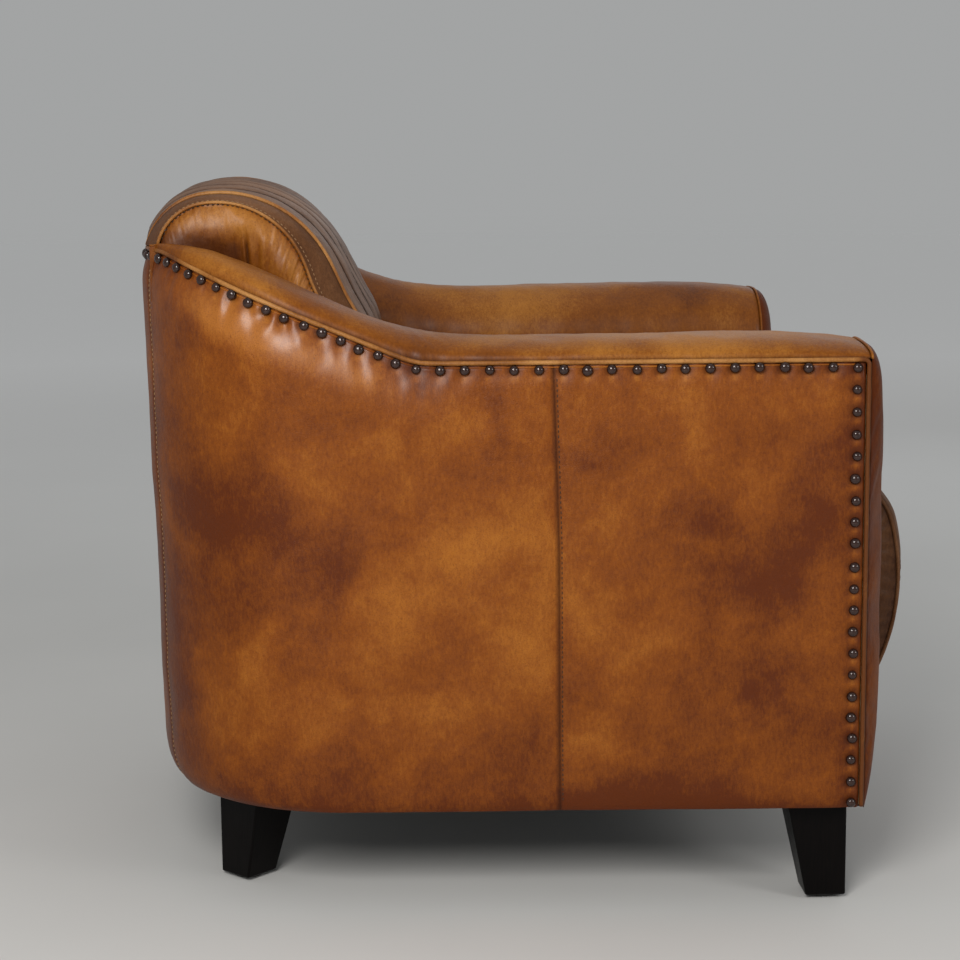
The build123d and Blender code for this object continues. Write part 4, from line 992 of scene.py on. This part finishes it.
# seat cushion: channelled cover over a round nose, with a side panel at each end
seatPad = dict(top=448.0, noseY=-424.0, noseZ=329.0, nose=244.0, brow=75.0, lipY=-362.0, lipZ=207.0, rear=205.0,
               chin=math.radians(203.0), ribs=9, pitch=51.5, ribRise=8.0, groove=1.0, crown=8.0, welt=2.9,
               side=247.0, sideRoll=12.0, dip=7.0, dipY=(-90.0, 170.0), dipX=150.0, footY=(-340, 200),
               footZ=(285, 340), pucker=0.7, puckerPitch=9.0, ribWave=0.8, gather=0.9, gatherReach=24.0,
               sideUneven=((0.6, 45.0, 73),), grooveDark=(0.6, 5.0), creaseReach=3.4, ribRubAndHighlight=0.25,
               sideDark=(0.5, 9.0),
               fill=dict(pressure=4.0, slack=0.006, cap=3.0, steps=12),
               sideFill=dict(pressure=2.0, slack=0.012, cap=3.0, steps=12))
noseCentre = (seatPad["noseY"] + seatPad["nose"], seatPad["noseZ"])
browDrop = seatPad["top"] - seatPad["brow"] - noseCentre[1]
browReach = math.sqrt((seatPad["nose"] - seatPad["brow"]) ** 2 - browDrop**2)
browCentre = (noseCentre[0] - browReach, seatPad["top"] - seatPad["brow"])
browTurn = math.atan2(browDrop, -browReach)


def seatLine(t, lift):
    # side-view line of the seat: t 0..1 under the chin, 1..2 nose, 2..3 brow, 3..4 level top to the back
    t, lift = np.broadcast_arrays(np.asarray(t, float), np.asarray(lift, float))
    chin = seatPad["chin"]
    r, rb = seatPad["nose"] + lift, seatPad["brow"] + lift
    ux, uz = math.cos(chin), math.sin(chin)
    qy, qz = noseCentre[0] + r * ux, noseCentre[1] + r * uz
    dy, dz = qy - seatPad["lipY"], qz - seatPad["lipZ"]
    rr = (dy**2 + dz**2) / (2 * (dy * ux + dz * uz))
    ky, kz = qy - rr * ux, qz - rr * uz
    first = np.arctan2(seatPad["lipZ"] - kz, seatPad["lipY"] - ky) % (2 * math.pi)
    under = first + unit(t) * (chin - first)
    nose = chin + unit(t - 1) * (browTurn - chin)
    brow = browTurn + unit(t - 2) * (math.pi / 2 - browTurn)
    level = browCentre[0] + unit(t - 3) * (seatPad["rear"] - browCentre[0])
    y = np.where(t <= 2, noseCentre[0] + r * np.cos(nose), browCentre[0] + rb * np.cos(brow))
    z = np.where(t <= 2, noseCentre[1] + r * np.sin(nose), browCentre[1] + rb * np.sin(brow))
    y = np.where(t <= 1, ky + rr * np.cos(under), y)
    z = np.where(t <= 1, kz + rr * np.sin(under), z)
    return np.where(t > 3, level, y), np.where(t > 3, seatPad["top"] + lift, z)


seatX, seatShare, seatHalf = ribSteps(seatPad)


def seatChannelGrid():
    # as the back's channels, with a shallow dip where people sit
    xs, ts = onGrid(seatX, spans(16, 50, 30, 100))
    rib = np.broadcast_to(ribShape(seatShare), xs.shape)
    rise = (seatPad["ribRise"] + seatPad["groove"]) * rib - seatPad["groove"]
    ys, zs = seatLine(ts, seatPad["crown"] * (1 - (xs / seatHalf) ** 2) + rise)
    dip = hill(ys, seatPad["dipY"]) * bell(xs, seatPad["dipX"]) * unit((ts - 3) * 5)
    pts = points(xs, ys, zs - seatPad["dip"] * dip)
    ripple = np.sin(ys * 2 * math.pi / seatPad["puckerPitch"] + zs * 0.5 + xs)
    pucker = seatPad["pucker"] * (1 - rib) * ripple
    pucker = pucker + seatPad["ribWave"] * rib * waves(pts * [0.6, 1, 1], 70.0, 61)
    pts = pts - gridNormals(pts) * pucker[..., None]
    toGroove = np.minimum(seatShare, 1 - seatShare) * seatPad["pitch"] + 0 * xs
    # painted shade: the grooves darkened and near black; the rib crests lighter, partly rubbed wear and partly a
    # painted highlight
    marks = dict(patinaAndShade=0.15 + nearTo(toGroove, seatPad["grooveDark"]), rubAndHighlight=seatPad["ribRubAndHighlight"] * rib,
                 creaseShade=unit(1.25 - toGroove / seatPad["creaseReach"]))
    return pts, np.stack([xs, ts * 200], -1) / 1000, marks


pts, uv, marks = seatChannelGrid()
held = heldRim(pts, 1, 2) | (marks["creaseShade"] > 0.9)
pts = plump("seatChannels", pts, held, True, seatPad["fill"])
cover = gridPiece("seatChannels", (pts, uv, marks), bandLeather, flip=True)
settle(cover, "leather", "seat_cover", "seat_foam", pad=0.85)


def seatSideGrid():
    # from the welt in to the middle of the side: the edge rolls out from the seam, with gathers that fade
    rs, ts = onGrid(np.linspace(0, 1, 40) ** 1.3, spans(24, 80, 50, 120))
    y0, z0 = seatLine(ts, -1.0)
    footY, footZ = np.clip(y0, *seatPad["footY"]), np.clip(z0, *seatPad["footZ"])
    ys, zs = y0 + (footY - y0) * rs, z0 + (footZ - z0) * rs
    away = rs * np.hypot(footY - y0, footZ - z0)
    seamX = seatHalf + 2 * seatPad["welt"]
    out = seamX + (seatPad["side"] - seamX) * (1 - fade(away, seatPad["sideRoll"]))
    pts = points(out - 1.5, ys, zs)
    gather = np.sin(ts * 60 + 2.2 * waves(pts, 80.0, 71)) * fade(away, seatPad["gatherReach"]) * unit(away / 5.0)
    pts[..., 0] += seatPad["gather"] * gather + uneven(pts, seatPad["sideUneven"])
    # darker overall and towards the welt; painted shade in the seam crease; the gather crests lighter, partly
    # rubbed wear and partly a painted highlight
    marks = dict(patinaAndShade=0.35 + nearTo(away, seatPad["sideDark"]), rubAndHighlight=0.2 * unit(gather), creaseShade=unit(1 - away / 2))
    return pts, np.stack([ys, zs], -1) / 1000, marks


pts, uv, marks = seatSideGrid()
pts = plump("seatSide", pts, heldRim(pts, 2, 2), True, seatPad["sideFill"])
for side, mirror in sides:
    flank = gridPiece("seatSide_" + side, (pts, uv, marks), bandLeather, mirror, flip=True)
    settle(flank, "leather", "seat_side_" + side, pad=0.7)
print("seat cushion made")

# front apron: a flat band of leather under the seat's nose, softly bowed
apron = dict(back=-351.5, half=254.0, endsFrom=242.0, low=112.0, high=292.0, bow=8.0, hemRoll=25.0,
             uneven=((0.5, 80.0, 81),), hemDark=(0.6, 20.0))


def apronGrid():
    # bow times a quarter ellipse at the hem, falling away by a square law at both ends
    x, z = np.linspace(-1, 1, 120) * apron["half"], np.linspace(apron["low"], apron["high"], 52)
    xs, zs = onGrid(x, z)
    toHem = zs - apron["low"]
    ends = unit((np.abs(xs) - apron["endsFrom"]) / (apron["half"] - apron["endsFrom"]))
    pts = points(xs, apron["back"] - apron["bow"] * dome(toHem / apron["hemRoll"]) * (1 - ends**2), zs)
    pts[..., 1] -= uneven(pts, apron["uneven"])
    patinaAndShade = 0.3 + nearTo(toHem, apron["hemDark"])
    return pts, np.stack([xs, zs], -1) / 1000, dict(patinaAndShade=patinaAndShade, rubAndHighlight=0 * patinaAndShade, creaseShade=0 * patinaAndShade)


settle(gridPiece("frontApron", apronGrid(), panelLeather), "leather", "front_apron")
print("front apron made")

# welts and rolled seams: cord tubes along the seams, radius each
welts = dict(rim=2.5, cushion=2.4, fold=1.7, ridge=0.9, hem=0.9, lip=1.5, turn=5.0, inset=0.6, topGuess=670.0,
             step=3.0, around=12)


def rimPath():
    # up the facing seam, round a small corner, along the arm, over the climb and round to the middle of the back
    x0, y0 = sideX(tub["front"]) - welts["inset"], tub["front"]
    r, top = welts["turn"], armLine["seam"] - welts["turn"]
    rise = points(x0, y0, np.linspace(tub["hem"] + 2, top, 90))
    a = np.linspace(0, math.pi / 2, 14)[1:-1]
    bend = points(x0, y0 + r * (1 - np.cos(a)), top + r * np.sin(a))
    u = np.concatenate([np.linspace((r + 0.5) / flankSpan, 1, 260), 1 + spans(160, 60)[1:]])
    x, y, nx, ny = outline(u, seamZ(outline(u, welts["topGuess"])[1]))
    drawn = welts["inset"] + rimIn(y)
    return allRound(np.concatenate([rise, bend, points(x - drawn * nx, y - drawn * ny, seamZ(y))]))


def weltPiece(name, paths, radius, finish, seed, dull=None):
    # cord cover: a tube whose girth wavers a little, rubbed lighter in places; dull, when given, darkens parts of
    # it as painted shade
    pts, quads, uvs, total = [], [], [], 0
    for path in paths:
        path = resample(path, welts["step"])
        girth = radius * (1 + 0.035 * waves(path, 22.0, seed) + 0.02 * waves(path, 8.0, seed + 1))
        tube = tubeGrid(path, girth, welts["around"])
        rows, cols = tube.shape[:2]
        pts.append(tube.reshape(-1, 3))
        quads.append(gridFaces(rows, cols, True, True) + total)
        uv = onGrid(np.arange(rows) * welts["step"] / 1000, np.arange(cols) / cols * 0.02)
        uvs.append(np.stack(uv, -1).reshape(-1, 2))
        total += rows * cols
    pts = np.concatenate(pts)
    patinaAndShade = dull(pts) if dull else np.zeros(len(pts))
    marks = dict(patinaAndShade=patinaAndShade, creaseShade=0 * patinaAndShade, rubAndHighlight=0.2 + 0.3 * waves(pts, 60.0, seed + 2))
    return newMesh(name, pts, np.concatenate(quads), finish, np.concatenate(uvs), marks)


def rimPaintedShade(pts):
    # painted shade: the rim welt is darkened where it runs up the facing and round the back, turned from the light
    # above
    return 1.5 * unit((tub["front"] + 14 - pts[:, 1]) / 8) + 0.7 * unit((pts[:, 1] - 360) / 40)


settle(weltPiece("rimWelt", [rimPath()], welts["rim"], weltLeather, 91, rimPaintedShade), "leather_welt", "rim_welt")
path = points(backHalf + backPad["welt"], *backLine(np.linspace(0, 3, 400), 1.0, 1.0, 2.0))
cords = weltPiece("backWelts", mirrored(path), welts["cushion"], weltLeather, 94)
settle(cords, "leather_welt", "back_welts")
path = points(seatHalf + seatPad["welt"], *seatLine(np.linspace(0, 4, 500), 1.0))
cords = weltPiece("seatWelts", mirrored(path), welts["cushion"], bandLeather, 97)
settle(cords, "leather_welt", "seat_welts")
seamT = np.linspace(sidePad["start"], 2.97, 420)
foldY, foldZ = backLine(seamT, 0.8 - backPad["sideDrop"], 0.8 - backPad["frontDrop"], backPad["endDrop"] - 1)
path = points(bandEnd - 0.3, foldY, foldZ)
settle(weltPiece("backSideFolds", mirrored(path), welts["fold"], weltLeather, 101), "leather_welt")
path = allRound(np.concatenate([frontP[2:-1, -2], rearP[1:-1, -2], backP[1:, -2]]))
settle(weltPiece("rimFold", [path], welts["hem"], panelLeather, 107, rimPaintedShade), "leather_welt")
lipX, lipZ = armSection(np.full(240, armPad["start"]), np.linspace(3, 0, 240))
path = points(lipX, armPad["start"] - 0.6, lipZ)
settle(weltPiece("facingRolls", mirrored(path), welts["lip"], armLeather, 110), "leather_welt")
path = rearP[-1, 1:-1]
settle(weltPiece("rearSeamRidges", mirrored(path), welts["ridge"], weltLeather, 104), "leather_welt")
print("welts made")

# stitches: pale ones along the band and the rear seam, dark ones along the front seam and the side pillow
stitch = dict(length=3.4, gap=2.0, thick=0.55, end=3.0, bandIn=4.2, sideIn=1.8, proud=0.3, frontProud=0.2,
              lats=5, lons=6)


def stitchPiece(name, rows, finish):
    # each stitch is a small ellipsoid lying along its row; rows hold points and outward directions
    rows = rows + [(path * flipX, out * flipX) for path, out in rows]
    found = []
    for path, out in rows:
        run = pathRun(path)
        at = np.arange(stitch["end"], run[-1] - stitch["end"], stitch["length"] + stitch["gap"])
        found.append(readOff(at, run, np.concatenate([path, np.gradient(path, axis=0), out], 1)))
    spot, way, out = np.split(np.concatenate(found), 3, axis=1)
    way = way / np.linalg.norm(way, axis=1, keepdims=True)
    side = np.cross(out, way)
    side /= np.linalg.norm(side, axis=1, keepdims=True)
    up = np.cross(way, side)
    lat = np.linspace(-math.pi / 2, math.pi / 2, stitch["lats"])[:, None, None]
    lon = (np.arange(stitch["lons"]) * 2 * math.pi / stitch["lons"])[None, :, None]
    girth = stitch["thick"] * np.cos(lat) ** 0.6
    pts = spot[:, None, None] + stitch["length"] / 2 * np.sin(lat) * way[:, None, None]
    pts = pts + girth * np.cos(lon) * side[:, None, None] + girth * np.sin(lon) * up[:, None, None]
    one = gridFaces(stitch["lats"], stitch["lons"], True, True)
    first = np.arange(len(spot)) * stitch["lats"] * stitch["lons"]
    return newMesh(name, pts.reshape(-1, 3), (one[None] + first[:, None, None]).reshape(-1, 4), finish)


def outwards(x, y, z):
    # unit directions from their three parts
    way = points(x, y, z)
    return way / np.linalg.norm(way, axis=1, keepdims=True)


rowT = np.linspace(0.3, 2.93, 500)
share = 1 - stitch["bandIn"] / backPad["band"]
topLift, frontLift = bandLifts(share)
bandY, bandZ = backLine(rowT, topLift, frontLift, backPad["endDrop"] * share)
outY, outZ = backLine(rowT, topLift + 5, frontLift + 5, 0)  # the same line 5 mm further out
bandOut = outwards(2.2, outY - bandY, outZ - bandZ)
bandRow = points(bandStart + share * (bandEnd - bandStart), bandY, bandZ) + bandOut * stitch["proud"]
sideY, sideZ = backLine(rowT, -backPad["sideDrop"] - stitch["sideIn"], -backPad["frontDrop"] - stitch["sideIn"],
                        backPad["endDrop"] + 2.5)
sideRow = points(sideSwell(stitch["sideIn"]) + 0.7, sideY, sideZ)
sideOut = outwards(5.0, outY - sideY, outZ - sideZ)
rearWay = np.array([*outline(uRear, tub["midHeight"])[2:], 0.0])
rearRow = rearP[-2, 2:-3] + rearWay * stitch["proud"]
rearOut = np.broadcast_to(rearWay, rearRow.shape)
frontOut = np.broadcast_to([1.0, 0.0, 0.0], frontP[-2, 3:-4].shape)
frontRow = frontP[-2, 3:-4] + frontOut * stitch["frontProud"]
settle(stitchPiece("stitches", [(bandRow, bandOut), (rearRow, rearOut)], paleThread), "leather_welt")
settle(stitchPiece("darkStitches", [(frontRow, frontOut), (sideRow, sideOut)], darkThread), "leather_welt")
print("stitches made")


def nailPiece():
    # each head is a cap of a sphere on a short rim, turned to the leather's outward heading
    rings, around, count = nails["rings"], nails["around"], len(nailAll)
    t = np.linspace(0, math.pi / 2, rings)
    angle = np.arange(around) * 2 * math.pi / around
    r = np.r_[nails["radius"] * 0.96, nails["radius"] * np.cos(t) ** 0.9][:, None]
    h = np.r_[-nails["shank"], nails["height"] * np.sin(t)][:, None]
    cap = points(r * np.cos(angle), r * np.sin(angle), h)
    heading = nailAll[:, 3]
    out = points(np.cos(heading), np.sin(heading), 0.0)
    across = points(-out[:, 1], out[:, 0], 0.0)
    rng = np.random.RandomState(7)
    size = 1 + nails["uneven"] * rng.normal(size=count)
    stray = rng.normal(scale=nails["stray"], size=(count, 3)) * [0, 1, 1]
    spot = nailAll[:, :3] + out * nails["proud"] + stray
    turned = cap[..., :1] * across[:, None, None] + cap[..., 1:2] * [0, 0, 1] + cap[..., 2:] * out[:, None, None]
    pts = spot[:, None, None] + size[:, None, None, None] * turned
    one = gridFaces(rings + 1, around, True)
    first = np.arange(count) * (rings + 1) * around
    quads = (one[None] + first[:, None, None]).reshape(-1, 4)
    proud = np.broadcast_to(unit(h / nails["height"]) ** 2, pts.shape[:-1])
    return newMesh("nailHeads", pts.reshape(-1, 3), quads, nailBronze, marks=dict(dome=proud))


settle(nailPiece(), "nail_bronze", "studs")
print("nail heads made")

# stage: a pale floor that lightens and fades out with the distance, in metres
stage = dict(half=30, lightFrom=1.2, lightTo=5.0, fadeFrom=4.0, fadeTo=14.0, skyTint=(0.985, 1.0, 1.0), sky=0.37)
ground = Finish("paleFloor")
grit = ground.noise(3.0, 3.0)
reach = ground.add("ShaderNodeVectorMath", {"operation": "LENGTH"}, {0: ground.place()}, 1)
plain = ground.mix(grit, rgb((0.60, 0.595, 0.58)), rgb((0.64, 0.635, 0.62)))
plain = ground.mix(ground.spread(reach, stage["lightFrom"], stage["lightTo"]), plain, rgb((0.97, 0.97, 0.97)))
ground.wear(Base_Color=plain, Alpha=ground.spread(reach, stage["fadeFrom"], stage["fadeTo"], 1.0, 0.0),
            Roughness=ground.spread(grit, 0.3, 0.7, 0.75, 0.85), Specular_IOR_Level=0.2)
floorMesh = bpy.data.meshes.new("floor")
corners = [(x * stage["half"], y * stage["half"], 0) for x, y in ((-1, -1), (1, -1), (1, 1), (-1, 1))]
floorMesh.from_pydata(corners, [], [(0, 1, 2, 3)])
floorMesh.materials.append(ground.material)
floor = bpy.data.objects.new("floor", floorMesh)
bpy.context.scene.collection.objects.link(floor)

world = bpy.data.worlds.new("paleRoom")
bpy.context.scene.world = world
world.use_nodes = True
sky = world.node_tree.nodes["Background"]
sky.inputs["Color"].default_value = rgb(stage["skyTint"])
sky.inputs["Strength"].default_value = stage["sky"]


def standing(across, up, away, spot):
    # matrix of a lamp or camera from its three directions and its place
    turn = np.eye(4)
    turn[:3] = np.stack([across, up, away, spot], 1)
    return Matrix(turn.tolist())


def softLamp(name, spot, aim, size, power, tint):
    # a square area lamp at spot, turned to face aim, all in metres
    data = bpy.data.lights.new(name, "AREA")
    data.shape, data.size, data.size_y = "RECTANGLE", size, size
    data.energy, data.color = power, tint
    lamp = bpy.data.objects.new(name, data)
    bpy.context.scene.collection.objects.link(lamp)
    away = np.array(spot, float) - np.array(aim, float)
    away /= np.linalg.norm(away)
    across = np.cross([0, 0, 1], away)
    across /= np.linalg.norm(across)
    lamp.matrix_world = standing(across, np.cross(away, across), away, spot)


softLamp("keyLamp", (-2.3, 0.7, 1.6), (-0.2, 0.1, 0.45), 0.95, 43, (1.0, 0.98, 0.95))
softLamp("fillLamp", (-2.2, -2.4, 1.5), (0, 0, 0.4), 0.9, 17, (1.0, 0.98, 0.96))
softLamp("topLamp", (0.4, -0.2, 2.7), (0, 0, 0.5), 2.0, 5, (0.95, 0.98, 1.0))
softLamp("backLamp", (2.6, -0.8, 1.7), (0, 0, 0.6), 1.5, 4, (0.92, 0.97, 1.0))
print("stage lit")

# camera: yaw is measured from +X, pitch downwards
view = dict(spot=(-2.7506, 0.187 + depthShift / 1000, 0.8773), yaw=math.radians(-3.143), pitch=math.radians(9.621),
            roll=math.radians(0.552), lens=85.984, sensor=36.0)
eye = bpy.data.objects.new("camera", bpy.data.cameras.new("camera"))
bpy.context.scene.collection.objects.link(eye)
eye.data.sensor_width, eye.data.lens = view["sensor"], view["lens"]
cosYaw, sinYaw = math.cos(view["yaw"]), math.sin(view["yaw"])
cosPitch, sinPitch = math.cos(view["pitch"]), math.sin(view["pitch"])
cosRoll, sinRoll = math.cos(view["roll"]), math.sin(view["roll"])
ahead = np.array([cosYaw * cosPitch, sinYaw * cosPitch, -sinPitch])
right = np.array([sinYaw, -cosYaw, 0.0])
below = np.cross(ahead, right)
right, below = cosRoll * right + sinRoll * below, cosRoll * below - sinRoll * right
eye.matrix_world = standing(right, -below, -ahead, view["spot"])
bpy.context.scene.camera = eye
bpy.context.scene.view_settings.view_transform = "Standard"
